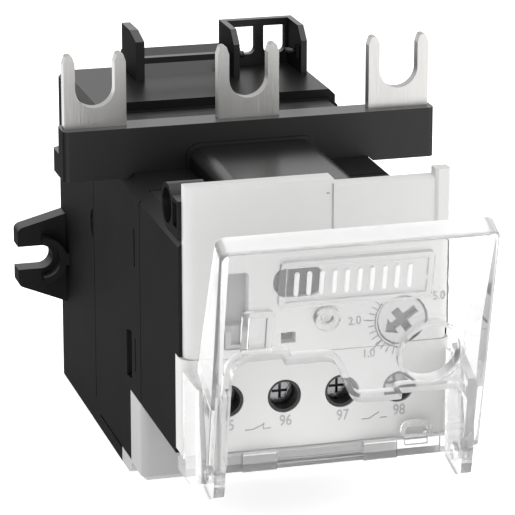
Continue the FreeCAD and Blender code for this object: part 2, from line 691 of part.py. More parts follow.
def transformer_core(side):
    """The laminated frame round one conductor."""
    x = side * POLE_PITCH
    front, window_front, window_back, back = core_span()
    half, top = CORE_WIDTH / 2, CORE_BOTTOM + CORE_HEIGHT
    window_half = LEAD_WIDTH / 2 + RUNNING_GAP
    core = box(x - half, x + half, front, back, CORE_BOTTOM, top)
    core = rounded(core, "z", 1.0)
    return core.cut(box(x - window_half, x + window_half, window_front, window_back, CORE_BOTTOM, top))


def transformer_winding(side):
    """The secondary, wound round the rear limb of a core."""
    x = side * POLE_PITCH
    window_back, back = core_span()[2:]
    top = CORE_BOTTOM + CORE_HEIGHT
    half = LEAD_WIDTH / 2
    wound = box(x - half, x + half, window_back - WINDING_THICK, back + WINDING_THICK,
                CORE_BOTTOM - WINDING_THICK, top + WINDING_THICK)
    wound = rounded(wound, "x", WINDING_THICK * 0.8)
    return wound.cut(box(x - half, x + half, window_back, back, CORE_BOTTOM, top))


# ------------------------------------------------------------------ load terminals
def lower_terminal_cover():
    """The grey cover under the housing: screw holes in front, and a foot with the cable entries."""
    outer = box(-HALF, HALF, FRONT_SEAM, FLOOR_DROP, COVER_BOTTOM, HOUSING_FLOOR)
    outer = rounded(outer, "z", COVER_ROUND, lambda middle: middle.y < FRONT_SEAM + 0.01)
    lower = [edge for edge in outer.Edges
             if edge.BoundBox.ZMax < COVER_BOTTOM + 0.01 and edge.BoundBox.YMax < FLOOR_DROP - 0.01]
    outer = outer.makeChamfer(COVER_ROUND * 0.7, lower)
    inner = HALF - COVER_WALL
    hollow = box(-inner, inner, FRONT_SEAM + COVER_WALL, FLOOR_DROP, COVER_BOTTOM + COVER_WALL,
                 HOUSING_FLOOR)
    foot_front = FLOOR_DROP - COVER_FOOT_LEAD
    foot = box(-HALF, HALF, foot_front, TRAY_FRONT - SEAT_GAP, REAR_FLOOR, tray_top() - SEAT_GAP)
    foot = rounded(foot, "x", COVER_FOOT_ROUND, lambda m: m.y < foot_front + 0.01 and m.z < REAR_FLOOR + 0.01)
    return join([outer.cut(hollow), foot] + pole_barriers()).cut(cover_openings())


def pole_barriers():
    """The walls between the poles, from the cover's front wall to the partition."""
    half = BARRIER / 2
    return [box(x - half, x + half, FRONT_SEAM + COVER_WALL, TRAY_FRONT - SEAT_GAP,
                COVER_BOTTOM + COVER_WALL, HOUSING_FLOOR - SEAT_GAP)
            for x in (-POLE_PITCH / 2, POLE_PITCH / 2)]


def cover_openings():
    openings = []
    entry = clamp_half() - CLAMP_WALL
    for side in POLES.values():
        x = side * POLE_PITCH
        openings.append(rod("y", x, LOAD_SCREW_LEVEL, FRONT_SEAM, FRONT_SEAM + COVER_WALL, LOAD_SCREW_HOLE))
        openings.append(box(x - entry, x + entry, ENTRY_FRONT, FORK_PLANE, REAR_FLOOR, tray_top()))
    return openings


def clamp_half():
    """Half the width of a clamp, which fills the space between two barriers."""
    return (POLE_PITCH - BARRIER) / 2 - BARRIER_SPACE


def clamp_front():
    return FORK_PLANE - CLAMP_ROOM - CLAMP_WALL


def load_clamp(side):
    """The steel cage that pulls a cable against the load tab."""
    x, half = side * POLE_PITCH, clamp_half()
    back = FORK_PLANE + FORK_THICK + SEAT_GAP + CLAMP_WALL
    cage = box(x - half, x + half, clamp_front(), back, CLAMP_BOTTOM, CLAMP_TOP)
    cage = bevelled(cage, "z", CLAMP_WALL / 2)
    inner = half - CLAMP_WALL
    cavity = box(x - inner, x + inner, clamp_front() + CLAMP_WALL, back - CLAMP_WALL, CLAMP_BOTTOM,
                 CLAMP_TOP)
    hole = rod("y", x, LOAD_SCREW_LEVEL, clamp_front(), clamp_front() + CLAMP_WALL, LOAD_SCREW_SHANK)
    return cage.cut([cavity, hole])


def load_screws():
    """The three clamp screws, with cross recesses."""
    seat = clamp_front()
    shank = LOAD_SCREW_SHANK - SHAFT_FIT
    return Part.makeCompound([pan_screw(side * POLE_PITCH, LOAD_SCREW_LEVEL, seat - LOAD_SCREW_CAP, seat,
                                        seat + CLAMP_WALL, LOAD_SCREW_HEAD, shank)
                        for side in POLES.values()])


def pan_screw(x, z, front, seat, end, head, shank):
    """A pan-head screw along Y, head first."""
    body = join([rod("y", x, z, front, seat, head), rod("y", x, z, seat, end, shank)])
    depth = (seat - front) * 0.6
    arm = head * 0.62
    cross = [box(x - arm, x + arm, front, front + depth, z - head * 0.11, z + head * 0.11),
             box(x - head * 0.11, x + head * 0.11, front, front + depth, z - arm, z + arm)]
    return body.cut(cross)


# ------------------------------------------------------------------ face plate and terminal face
def face_plate():
    """The light front, stepped at its top, with a rail at its right edge."""
    half = HALF - PLATE_INSET
    outline = [(-half, PLATE_SPLIT + SEAT_GAP), (half, PLATE_SPLIT + SEAT_GAP), (half, PLATE_RIGHT_TOP)]
    outline += [(PLATE_STEP, PLATE_RIGHT_TOP), (PLATE_STEP - 1.0, PLATE_TOP), (-half, PLATE_TOP)]
    plate = prism("y", outline, 0, PLATE_THICK)
    plate = bevelled(plate, "x", PLATE_TOP_BEVEL, lambda m: m.y < 0.01 and m.z > PLATE_RIGHT_TOP - 0.01)
    plate = rounded(plate, "z", PLATE_EDGE_ROUND, lambda m: m.y < 0.01 and abs(m.x) > half - 0.01)
    rail = box(half - RAIL_WIDTH, half, -RAIL_PROUD, PLATE_THICK, RAIL_FOOT, PLATE_TOP)
    rail = bevelled(rail, "z", 0.4, lambda m: m.y < 0)
    return join([plate, rail]).cut(face_openings() + label_grooves())


def label_grooves():
    """Hairline grooves round the upper right field of the plate."""
    wide = LABEL_GROOVE
    return [box(PLATE_STEP - 1.0, PLATE_STEP - 1.0 + wide, 0, wide, RAIL_FOOT, PLATE_RIGHT_TOP),
            box(PLATE_STEP - 1.0, HALF - PLATE_INSET - RAIL_WIDTH, 0, wide, RAIL_FOOT - wide, RAIL_FOOT)]


def face_openings():
    """The dial hole, reset recess, test slot and trip window."""
    dial = rod("y", DIAL_X, DIAL_LEVEL, 0, PLATE_THICK, DIAL_RADIUS + RUNNING_GAP)
    half = RESET_LENGTH / 2
    reset = slot("y", RESET_X - half, RESET_X + half, RESET_LEVEL, RESET_HEIGHT / 2, 0, PLATE_THICK)
    test = box(TEST_LEFT, TEST_LEFT + TEST_WIDTH, 0, PLATE_THICK, TEST_BOTTOM, TEST_TOP)
    flag = box(FLAG_LEFT, FLAG_LEFT + FLAG_WIDTH, 0, PLATE_THICK, FLAG_LEVEL, FLAG_LEVEL + FLAG_HEIGHT)
    return [dial, reset, rounded(test, "y", 0.5), flag]


def terminal_face():
    """The lower face over the control terminals, with side returns and four screw holes."""
    outline = [(-HALF, PLATE_FOOT), (HALF, PLATE_FOOT), (HALF, PLATE_SPLIT), (-HALF, PLATE_SPLIT)]
    plate = prism("y", outline, 0, PLATE_THICK)
    plate = rounded(plate, "z", PLATE_EDGE_ROUND, lambda m: m.y < 0.01)
    back = PLATE_THICK + RETURN_DEPTH - SEAT_GAP
    side = [(PLATE_THICK, PLATE_FOOT), (back, PLATE_FOOT), (back, PLATE_SPLIT - SEAT_GAP)]
    side += [(PLATE_THICK, PLATE_SPLIT - SEAT_GAP)]
    wing = prism("x", side, -HALF, -HALF + RETURN_THICK - SEAT_GAP)
    holes = [rod("y", x, CONTROL_LEVEL, 0, PLATE_THICK, CONTROL_HOLE) for x in CONTROL_XS]
    return join([plate] + both(wing)).cut(holes)


# ------------------------------------------------------------------ hood
def hood_outline(inset):
    half, top = HOOD_HALF_WIDTH - inset, HOOD_TOP - inset
    return [(-half, HOUSING_TOP), (half, HOUSING_TOP), (half, top), (-half, top)]


def top_hood():
    """The arched hood on the housing roof, from the cross bar to the face plate."""
    front, back = PLATE_THICK + HOOD_SETBACK, BAR_FRONT - SEAT_GAP
    hood = prism("y", hood_outline(0), front, back)
    hood = rounded(hood, "y", HOOD_ROUND, lambda middle: middle.z > HOOD_TOP - 0.01)
    bead = prism("y", hood_outline(-HOOD_BEAD), back - HOOD_BEAD, back)
    bead = rounded(bead, "y", HOOD_ROUND, lambda middle: middle.z > HOOD_TOP)
    tunnel = prism("y", hood_outline(HOOD_WALL), front + HOOD_WALL, BAR_FRONT)
    return join([join([hood, bead]).cut(tunnel), hook_on_hood()])

def hook_on_hood():
    """The small round-nosed catch at the right front corner of the hood."""
    x0 = HOOD_HALF_WIDTH
    y0 = PLATE_THICK + SEAT_GAP
    block = box(x0 - HOOD_WALL, x0 + 1.6, y0, y0 + 3.0, HOUSING_TOP, HOOD_TOP + 1.2)
    return rounded(block, "y", 0.7, lambda middle: middle.z > HOOD_TOP)


# ------------------------------------------------------------------ controls on the face
def reset_button():
    """The reset button: round-ended head, flange behind the plate, and stem."""
    half, tall = RESET_LENGTH / 2 - 0.15, RESET_HEIGHT / 2 - 0.15
    seat = flange_front()
    head = slot("y", RESET_X - half, RESET_X + half, RESET_LEVEL, tall, RESET_RECESS, seat)
    wide, high = half + FLANGE, tall + FLANGE
    flange = slot("y", RESET_X - wide, RESET_X + wide, RESET_LEVEL, high, seat, seat + FLANGE_THICK)
    stem_end = stem_rib_front() + WALL
    stem = rod("y", RESET_X, RESET_LEVEL, seat, stem_end, RESET_STEM)
    return join([head, flange, stem])


def reset_spring():
    """The coil spring between the button's flange and the guide rib."""
    start = flange_front() + FLANGE_THICK
    end = stem_rib_front()
    length = end - start - SPRING_WIRE
    radius = RESET_STEM + SPRING_WIRE + 0.25
    helix = Part.makeHelix(length / SPRING_TURNS, length, radius)
    half = SPRING_WIRE / 2
    corners = [Vector(radius + a, 0, b) for a, b in ((-half, -half), (half, -half), (half, half),
                                                     (-half, half))]
    coil = Part.Wire(helix.Edges).makePipeShell([Part.makePolygon(corners + corners[:1])], True, True)
    coil.rotate(Vector(0, 0, 0), AXES["x"], -90)
    coil.translate(Vector(RESET_X, start + SPRING_WIRE / 2, RESET_LEVEL))
    return coil


def test_slide():
    """The test slide: a thumb lug in the slot and a shutter behind the plate."""
    seat = flange_front()
    side = 0.25
    low = TEST_BOTTOM + side
    lug = box(TEST_LEFT + side, TEST_LEFT + TEST_WIDTH - side, 0, seat, low, low + TEST_HEAD)
    lug = bevelled(lug, "x", 0.8, lambda middle: middle.y < 0.01 and middle.z > low + 0.01)
    groove = box(TEST_LEFT + 1.2, TEST_LEFT + TEST_WIDTH - 1.2, 0, 0.8, low + 0.6, low + TEST_HEAD)
    shutter = box(TEST_LEFT - FLANGE, TEST_LEFT + TEST_WIDTH + FLANGE, seat, seat + FLANGE_THICK,
                  TEST_BOTTOM - FLANGE, TEST_TOP + FLANGE)
    return join([lug.cut(groove), shutter])


def adjustment_dial():
    """The setting dial: a slotted disc with an arrow, a flange and a shaft."""
    seat = flange_front()
    disc = rod("y", DIAL_X, DIAL_LEVEL, seat - DIAL_THICK, seat, DIAL_RADIUS)
    flange = rod("y", DIAL_X, DIAL_LEVEL, seat, seat + FLANGE_THICK, DIAL_RADIUS + DIAL_FLANGE)
    shaft = rod("y", DIAL_X, DIAL_LEVEL, seat, CONTROL_BOARD - SHAFT_END, DIAL_SHAFT)
    return join([disc, flange, shaft]).cut(dial_slots(seat - DIAL_THICK))


def dial_slots(front):
    """A cross slot whose long arm ends in an arrow head."""
    depth = DIAL_SLOT
    half = DIAL_SLOT_WIDTH / 2
    reach = DIAL_RADIUS * 0.86
    back = front + depth
    head = DIAL_RADIUS * 0.42
    long_arm = box(-reach * 0.85, reach - head, front, back, -half, half)
    short_arm = box(-half, half, front, back, -reach * 0.62, reach * 0.62)
    arrow = prism("y", [(reach - head, -head), (reach, 0), (reach - head, head)], front, back)
    slots = join([long_arm, short_arm, arrow])
    slots.rotate(Vector(0, 0, 0), AXES["y"], -POINTER_ANGLE)
    slots.translate(Vector(DIAL_X, 0, DIAL_LEVEL))
    return slots


def potentiometer():
    half = DIAL_RADIUS + DIAL_FLANGE - 0.3
    front = CONTROL_BOARD - POTENTIOMETER_DEPTH
    body = box(DIAL_X - half, DIAL_X + half, front, CONTROL_BOARD, DIAL_LEVEL - half, DIAL_LEVEL + half)
    return body.cut(rod("y", DIAL_X, DIAL_LEVEL, front, CONTROL_BOARD - SHAFT_END / 2,
                        DIAL_SHAFT + SHAFT_FIT))


# ------------------------------------------------------------------ control terminals and contacts
def block_low():
    return HOUSING_FLOOR + WALL + SEAT_GAP


def contact_block():
    """The moulded block with a pocket for each control terminal, open at front and foot."""
    half = CONTROL_PITCH * 2 + BLOCK_WALL / 2 - RUNNING_GAP
    low, high = block_low(), CONTROL_LEVEL + BLOCK_RISE
    back = BLOCK_FRONT + BLOCK_DEPTH
    block = box(CONTROL_CENTRE - half, CONTROL_CENTRE + half, BLOCK_FRONT, back, low, high)
    collars = [rod("y", x, CONTROL_LEVEL, COLLAR_RECESS, BLOCK_FRONT + BLOCK_WALL, CONTROL_HOLE - SEAT_GAP)
               for x in CONTROL_XS]
    block = join([block] + collars)
    pockets = []
    pocket_half = (CONTROL_PITCH - BLOCK_WALL) / 2
    strip_low = strip_level()
    for x in CONTROL_XS:
        pockets.append(box(x - pocket_half, x + pocket_half, BLOCK_FRONT + BLOCK_WALL,
                           back - BLOCK_WALL * 2,
                           low, high - BLOCK_WALL))
        pockets.append(rod("y", x, CONTROL_LEVEL, 0, back - BLOCK_WALL * 2,
                           CONTROL_HOLE - SEAT_GAP - COLLAR_WALL))
        slit = STRIP_WIDTH / 2 + SEAT_GAP
        pockets.append(box(x - slit, x + slit, back - BLOCK_WALL * 2, back, strip_low,
                           strip_low + STRIP_THICK))
    return block.cut(pockets)


def strip_level():
    """Height of the contact strips."""
    return CONTROL_LEVEL + 2.4


def contact_strip(x, below):
    """Terminal plate, strip and contact of one control terminal; below puts the contact underneath."""
    level = strip_level()
    wall_front = BLOCK_FRONT + BLOCK_DEPTH - BLOCK_WALL * 2
    half = (CONTROL_PITCH - BLOCK_WALL) / 2 - 0.6
    low = CONTROL_LEVEL - BLOCK_RISE + 1.0
    plate = box(x - half, x + half, wall_front - STRIP_THICK, wall_front, low, level + STRIP_THICK)
    plate = plate.cut(rod("y", x, CONTROL_LEVEL, 0, wall_front, 1.25 + SHAFT_FIT))
    end = CONTACT_DEPTH + CONTACT_HALF + 0.3
    strip = box(x - STRIP_WIDTH / 2, x + STRIP_WIDTH / 2, wall_front - STRIP_THICK, end,
                level, level + STRIP_THICK)
    low = level - CONTACT_THICK if below else level + STRIP_THICK
    half = CONTACT_HALF
    contact = box(x - half, x + half, CONTACT_DEPTH - half, CONTACT_DEPTH + half, low, low + CONTACT_THICK)
    return join([plate, strip, contact])


def washer_front():
    return BLOCK_FRONT + BLOCK_WALL + SEAT_GAP


def terminal_washers():
    """The square washers that the control screws clamp wires under."""
    washers = []
    half = (CONTROL_PITCH - BLOCK_WALL) / 2 - 0.5
    for x in CONTROL_XS:
        plate = box(x - half, x + half, washer_front(), washer_front() + 0.9,
                    CONTROL_LEVEL - half, CONTROL_LEVEL + half - 0.4)
        washers.append(plate.cut(rod("y", x, CONTROL_LEVEL, 0, BODY_DEPTH, 1.25 + SHAFT_FIT)))
    return Part.makeCompound(washers)


def control_screws():
    """The four cross-slot terminal screws behind the face."""
    seat = washer_front()
    end = BLOCK_FRONT + BLOCK_DEPTH - BLOCK_WALL * 2 - SEAT_GAP
    head = CONTROL_HOLE - SEAT_GAP - COLLAR_WALL - 0.2
    return Part.makeCompound([pan_screw(x, CONTROL_LEVEL, PLATE_THICK + 0.7, seat, end, head, 1.25)
                              for x in CONTROL_XS])


def nc_bridge_low():
    """Underside of the normally closed bridge, just over its contacts."""
    return strip_level() + STRIP_THICK + CONTACT_THICK + SEAT_GAP


def no_bridge_low():
    """Underside of the normally open bridge, one travel below its contacts."""
    return strip_level() - CONTACT_THICK - SEAT_GAP - TRIP_TRAVEL - BRIDGE_THICK


def bridge(first, second, low):
    reach = CONTACT_HALF + BRIDGE_OVERHANG - 0.6
    bar = box(first - reach, second + reach, CONTACT_DEPTH - CONTACT_HALF,
              CONTACT_DEPTH + CONTACT_HALF, low, low + BRIDGE_THICK)
    return bevelled(bar, "z", BRIDGE_THICK / 2)


def arm_low():
    """Underside of the carrier's arm."""
    return nc_bridge_low() + BRIDGE_THICK + 1.5


def contact_carrier():
    """The moulded slide that holds both bridges, the trip flag and the plunger."""
    low = arm_low()
    high = coil_frame_low() - TRIP_TRAVEL - RUNNING_GAP
    nc_x, no_x = (sum(CONTROL_XS[:2]) / 2, sum(CONTROL_XS[2:]) / 2)
    y0, y1 = CONTACT_DEPTH - CONTACT_HALF, CONTACT_DEPTH + CONTACT_HALF
    arm = box(nc_x - 1.2, no_x + 1.2, y0, y1, low, high)
    hub = box(CONTROL_CENTRE - 2.5, CONTROL_CENTRE + 2.5, y0, COIL_DEPTH + PLUNGER_RADIUS, low, high)
    nc_leg = box(nc_x - 1.2, nc_x + 1.2, y0, y1, nc_bridge_low() + BRIDGE_THICK, low)
    no_leg = box(no_x - 1.2, no_x + 1.2, y0, y1, no_bridge_low() + BRIDGE_THICK, low)
    return join([arm, hub, nc_leg, no_leg] + flag_arm(low, high, y0))


def flag_arm(low, high, y0):
    x0, x1 = FLAG_LEFT + 0.3, FLAG_LEFT + FLAG_WIDTH - 0.3
    return [box(x0, x1, flange_front() + FLANGE_THICK, y0, low, high)]


def trip_flag():
    """The marked plate that rises into the trip window."""
    seat = flange_front()
    top = FLAG_LEVEL - 0.2
    return box(FLAG_LEFT - 0.2, FLAG_LEFT + FLAG_WIDTH + 0.2, seat, seat + FLANGE_THICK, arm_low(), top)


# ------------------------------------------------------------------ trip magnet
def coil_frame_low():
    return COIL_BOTTOM - YOKE_THICK


def trip_yoke():
    """The steel frame round the coil, on the control board."""
    half = COIL_RADIUS + COIL_FLANGE
    back = CONTROL_BOARD
    front = COIL_DEPTH - COIL_RADIUS
    low, high = coil_frame_low(), COIL_BOTTOM + COIL_HEIGHT + YOKE_THICK
    x0, x1 = CONTROL_CENTRE - half, CONTROL_CENTRE + half
    plates = [box(x0, x1, front, back, low, low + YOKE_THICK),
              box(x0, x1, front, back, high - YOKE_THICK, high)]
    yoke = join(plates + [box(x0, x1, back - YOKE_THICK, back, low, high)])
    return yoke.cut(rod("z", CONTROL_CENTRE, COIL_DEPTH, low, low + YOKE_THICK,
                        PLUNGER_RADIUS + RUNNING_GAP))


def trip_bobbin():
    """The spool that guides the plunger."""
    top = COIL_BOTTOM + COIL_HEIGHT
    half = COIL_RADIUS + COIL_FLANGE - RUNNING_GAP
    x0, x1 = CONTROL_CENTRE - half, CONTROL_CENTRE + half
    ends = [box(x0, x1, COIL_DEPTH - half, COIL_DEPTH + half, z, z + 0.8) for z in (COIL_BOTTOM, top - 0.8)]
    spool = join(ends + [rod("z", CONTROL_CENTRE, COIL_DEPTH, COIL_BOTTOM, top, PLUNGER_RADIUS + 0.8)])
    return spool.cut(rod("z", CONTROL_CENTRE, COIL_DEPTH, COIL_BOTTOM, top, PLUNGER_RADIUS + SHAFT_FIT))


def trip_coil():
    """The enamelled winding on the spool."""
    low, top = COIL_BOTTOM + 0.8, COIL_BOTTOM + COIL_HEIGHT - 0.8
    coil = rod("z", CONTROL_CENTRE, COIL_DEPTH, low, top, COIL_RADIUS)
    return coil.cut(rod("z", CONTROL_CENTRE, COIL_DEPTH, low, top, PLUNGER_RADIUS + 0.8))


def trip_plunger():
    """The iron core that lifts the contact carrier."""
    low = coil_frame_low() - TRIP_TRAVEL - RUNNING_GAP
    high = COIL_BOTTOM + COIL_HEIGHT - TRIP_TRAVEL - RUNNING_GAP
    return rod("z", CONTROL_CENTRE, COIL_DEPTH, low, high, PLUNGER_RADIUS)


# ------------------------------------------------------------------ boards
def control_board():
    edge = HALF - WALL - RUNNING_GAP
    low, high = HOUSING_FLOOR + WALL + RUNNING_GAP, HOUSING_TOP - WALL - RUNNING_GAP
    return box(-edge, edge, CONTROL_BOARD, CONTROL_BOARD + BOARD_THICK, low, high)


def control_chips():
    """The processor and its neighbours, on the front of the control board."""
    back, front = CONTROL_BOARD, CONTROL_BOARD - CHIP_THICK
    chips = []
    for x, z, width, height in ((CHIP_LEFT, PROCESSOR_LEVEL, PROCESSOR_SIZE, PROCESSOR_SIZE),
                                (CHIP_LEFT, CHIP_LOW, DRIVER_HEIGHT, DRIVER_WIDTH),
                                (CHIP_RIGHT, DRIVER_LEVEL, DRIVER_WIDTH, DRIVER_HEIGHT)):
        chips.append(box(x - width / 2, x + width / 2, front, back, z - height / 2, z + height / 2))
    return Part.makeCompound(chips)


def power_board():
    edge = HALF - WALL - RUNNING_GAP
    low, high = tray_top() + WALL + RUNNING_GAP, STEP_TOP - WALL - RUNNING_GAP
    return box(-edge, edge, POWER_BOARD, POWER_BOARD + BOARD_THICK, low, high)


def storage_capacitor():
    """The capacitor that stores the trip energy, behind the power board."""
    back = POWER_BOARD + BOARD_THICK
    return rod("y", CAPACITOR_X, CAPACITOR_LEVEL, back, back + CAPACITOR_LENGTH, CAPACITOR_RADIUS)


def board_ribbon():
    """The flat link between the two boards, passing between two conductors."""
    x, half = POLE_PITCH / 2, RIBBON_WIDTH / 2
    back, low = CONTROL_BOARD + BOARD_THICK, HOUSING_TOP - RIBBON_DROP
    return box(x - half, x + half, back, POWER_BOARD, low, low + RIBBON_THICK)


# ------------------------------------------------------------------ clear base frame
def base_frame():
    """The clear bar under the terminal face, with knuckles, cheeks and the guard's pivot pins."""
    bar = box(-HALF, HALF, BASE_BAR_FRONT, PLATE_THICK - SEAT_GAP, BASE_FOOT, BASE_BAR_TOP)
    flange_half = HALF - CHEEK_THICK
    flange = box(-flange_half, flange_half, BASE_BAR_FRONT, BASE_BAR_BACK, BASE_FOOT,
                 HOUSING_FLOOR - SEAT_GAP)
    groove = box(-KNUCKLE_INNER, KNUCKLE_INNER, BASE_BAR_FRONT, BASE_BAR_FRONT + 0.5, 0.9, 1.8)
    knuckle = box(KNUCKLE_INNER, KNUCKLE_OUTER, BASE_BAR_FRONT - 0.9, BASE_BAR_FRONT, BASE_FOOT,
                  BASE_BAR_TOP + 0.4)
    knuckle = rounded(knuckle, "x", 0.4, lambda middle: middle.y < BASE_BAR_FRONT - 0.5)
    eye = seal_eye()
    return join([bar.cut(groove), flange.cut(groove)] + both(knuckle) + both(cheek()) + [eye])


def cheek():
    """The left cheek, with the pin that the guard swings on."""
    panel_foot = CHEEK_FRONT + 0.4
    slope = math.tan(math.radians(GUARD_LEAN))
    top_front = panel_foot + (CHEEK_TOP - 8.0) * slope
    tab_back, tab_top = BASE_BAR_BACK - 1.1, HOUSING_FLOOR - SEAT_GAP
    outline = [(-0.4, BASE_FOOT), (tab_back, BASE_FOOT), (tab_back, tab_top), (-0.4, tab_top)]
    outline += [(-0.4, CHEEK_TOP), (top_front, CHEEK_TOP), (panel_foot, 8.0), (CHEEK_FRONT, PIVOT_Z + 0.8)]
    outline += [(CHEEK_FRONT + 0.4, PIVOT_Z - 1.0), (PIVOT_Y + 0.8, PIVOT_Z - 2.1), (-4.0, BASE_FOOT)]
    inner = -HALF + CHEEK_THICK
    plate = prism("x", outline, -HALF, inner)
    pin = rod("x", PIVOT_Y, PIVOT_Z, inner, inner + RUNNING_GAP + LEG_THICK, PIVOT_PIN)
    return join([plate, pin])


def seal_eye():
    """The small loop for a lead seal, standing on the bar at the right."""
    y0 = BASE_BAR_FRONT - CHEEK_THICK
    right = HALF - SEAL_EYE_INSET
    left, half, wall = right - SEAL_EYE_WIDTH, SEAL_EYE_HEIGHT / 2, SEAL_EYE_WALL
    middle = BASE_BAR_TOP + half
    outer = slot("y", left, right, middle, half, y0, BASE_BAR_FRONT)
    foot = box(left + wall, right - wall, y0, BASE_BAR_FRONT + wall, BASE_BAR_TOP - wall,
               BASE_BAR_TOP + wall / 2)
    hole = slot("y", left + wall, right - wall, middle, half - wall, y0, BASE_BAR_FRONT)
    return join([outer, foot]).cut(hole)


# ------------------------------------------------------------------ clear guard
def guard_profile():
    """Depth of the closed guard's front face at a height."""
    slope = math.tan(math.radians(GUARD_LEAN))
    top_front = GUARD_REAR - GUARD_TOP_DEPTH
    return lambda z: top_front - (GUARD_TOP - z) * slope


def guard_foot():
    return PIVOT_Z - 0.4


def on_panel(shape):
    """Carries a shape drawn on an upright panel, foot at the origin, to the closed guard."""
    foot = guard_foot()
    shape.rotate(Vector(0, 0, 0), AXES["x"], -GUARD_LEAN)
    shape.translate(Vector(0, guard_profile()(foot), foot))
    return shape


def guard_shell():
    """The closed guard's outer block less its inside: front panel, top wall and two sides."""
    front = guard_profile()
    low = CHEEK_TOP + RUNNING_GAP + 0.1
    foot = guard_foot() + SHOULDER
    side = [(GUARD_REAR, low), (GUARD_REAR, GUARD_TOP), (front(GUARD_TOP), GUARD_TOP), (front(foot), foot)]
    thick = GUARD_WALL / math.cos(math.radians(GUARD_LEAN))
    side += [(front(foot) + thick, foot), (front(low) + thick, low)]
    block = prism("x", side, -GUARD_HALF_WIDTH, GUARD_HALF_WIDTH)
    block = rounded(block, "y", GUARD_ROUND, lambda middle: middle.z > GUARD_TOP - 0.01)
    block = guard_front_rounds(block)
    inner_top = GUARD_TOP - GUARD_WALL
    inside = [(GUARD_REAR, foot), (GUARD_REAR, inner_top), (front(inner_top) + thick, inner_top)]
    inside += [(front(foot) + thick, foot)]
    inner = GUARD_HALF_WIDTH - GUARD_WALL
    return block.cut(prism("x", inside, -inner, inner))


def guard_front_rounds(block):
    """Rounds the edges round the front panel, all but the lowest."""
    front = guard_profile()
    foot = guard_foot() + SHOULDER + 0.1

    def on_front(edge):
        return all(abs(corner.Y - front(corner.Z)) < 1e-6 for corner in edge.Vertexes)

    edges = [edge for edge in block.Edges if on_front(edge) and edge.BoundBox.ZMax > foot]
    return block.makeFillet(GUARD_CORNER, edges)


def guard_leg():
    """The left leg, inside the cheek, with the hole for the pin."""
    front = guard_profile()
    foot = guard_foot()
    outer = -HALF + CHEEK_THICK + RUNNING_GAP
    top = CHEEK_TOP + 2.0
    outline = [(front(foot), foot), (front(top), top), (GUARD_REAR, top), (GUARD_REAR, top - 3.0)]
    outline += [(GUARD_REAR - 0.9, PIVOT_Z + 7.0), (PIVOT_Y + 2.6, PIVOT_Z - 3.6),
                (PIVOT_Y - 3.2, PIVOT_Z - 2.4)]
    leg = prism("x", outline, outer, outer + LEG_THICK)
    return leg.cut(rod("x", PIVOT_Y, PIVOT_Z, outer, outer + LEG_THICK, PIVOT_PIN + SHAFT_FIT))


def guard_cut():
    """The stepped opening in the panel over the terminal screws, in panel coordinates."""
    side, foot = GUARD_HALF_WIDTH - CUT_INSET, -2.0
    left, right = CUT_STEP_X - CUT_STEP_WIDTH, CUT_STEP_X + CUT_STEP_WIDTH
    notch, lip = CUT_HIGH + CUT_NOTCH, CUT_LOW + CUT_NOTCH * 0.9
    outline = [(-side, foot), (side, foot), (side, lip), (CUT_LIP_X, lip), (CUT_LIP_X, CUT_LOW),
               (right, CUT_LOW)]
    outline += [(left, CUT_HIGH), (CUT_NOTCH_X, CUT_HIGH), (CUT_NOTCH_X, notch), (-side, notch)]
    opening = prism("y", outline, -GUARD_WALL, GUARD_WALL * 2)
    opening = rounded(opening, "y", CUT_ROUND, lambda m: m.z > CUT_LOW - 1 and abs(m.x) > side - 0.1)
    steps = [(left, CUT_HIGH), (right, CUT_LOW)]
    corners = [edge for edge in opening.Edges
               if any(math.hypot(edge.CenterOfMass.x - x, edge.CenterOfMass.z - z) < 0.01
                      for x, z in steps)]
    return opening.makeFillet(CUT_ROUND, corners)


def guard_rim(opening):
    """The raised rim behind the panel, along the sides and top of the opening."""
    front = min(opening.Faces, key=lambda face: face.CenterOfMass.y)
    grown = front.makeOffset2D(CUT_RIM).extrude(Vector(0, CUT_RIM_DEPTH, 0))
    grown.translate(Vector(0, GUARD_WALL - front.CenterOfMass.y, 0))
    rim = grown.cut(opening)
    return rim.common(box(-HALF, HALF, 0, GUARD_WALL * 2, SHOULDER + CUT_RIM, CUT_HIGH * 2))


def tray(left, right, low, high, proud, rim, floor):
    """A shallow tray that stands proud of the panel, in panel coordinates."""
    outer = rounded(box(left, right, -proud, 0, low, high), "y", rim * 0.8)
    return outer.cut(box(left + rim, right - rim, -proud, -floor, low + rim, high - rim))


def guard_pad():
    """The push pad over the reset button."""
    left = -GUARD_HALF_WIDTH + PAD_INSET
    return tray(left, left + PAD_WIDTH, PAD_LOW, PAD_HIGH, PAD_PROUD, PAD_RIM, PAD_FLOOR)


def guard_pocket():
    """The small tray over the test slide."""
    left = -GUARD_HALF_WIDTH + POCKET_INSET
    return tray(left, left + POCKET_WIDTH, POCKET_LOW, POCKET_HIGH, PAD_PROUD, PAD_RIM, 0)


def guard_boss():
    boss_rod = rod("y", GUARD_BOSS_X, GUARD_BOSS_HIGH, -1.4, 0, GUARD_BOSS_RADIUS)
    return boss_rod.cut(rod("y", GUARD_BOSS_X, GUARD_BOSS_HIGH, -1.4, 0, GUARD_BOSS_RADIUS - 1.0))


def guard_ring():
    """The collar round the screwdriver access to the dial."""
    ring = rod("y", GUARD_HALF_WIDTH - RING_INSET, RING_HIGH, -0.8, GUARD_WALL, RING_RADIUS)
    return ring.cut(rod("y", GUARD_HALF_WIDTH - RING_INSET, RING_HIGH, -0.8, GUARD_WALL,
                        RING_RADIUS - RING_WALL))


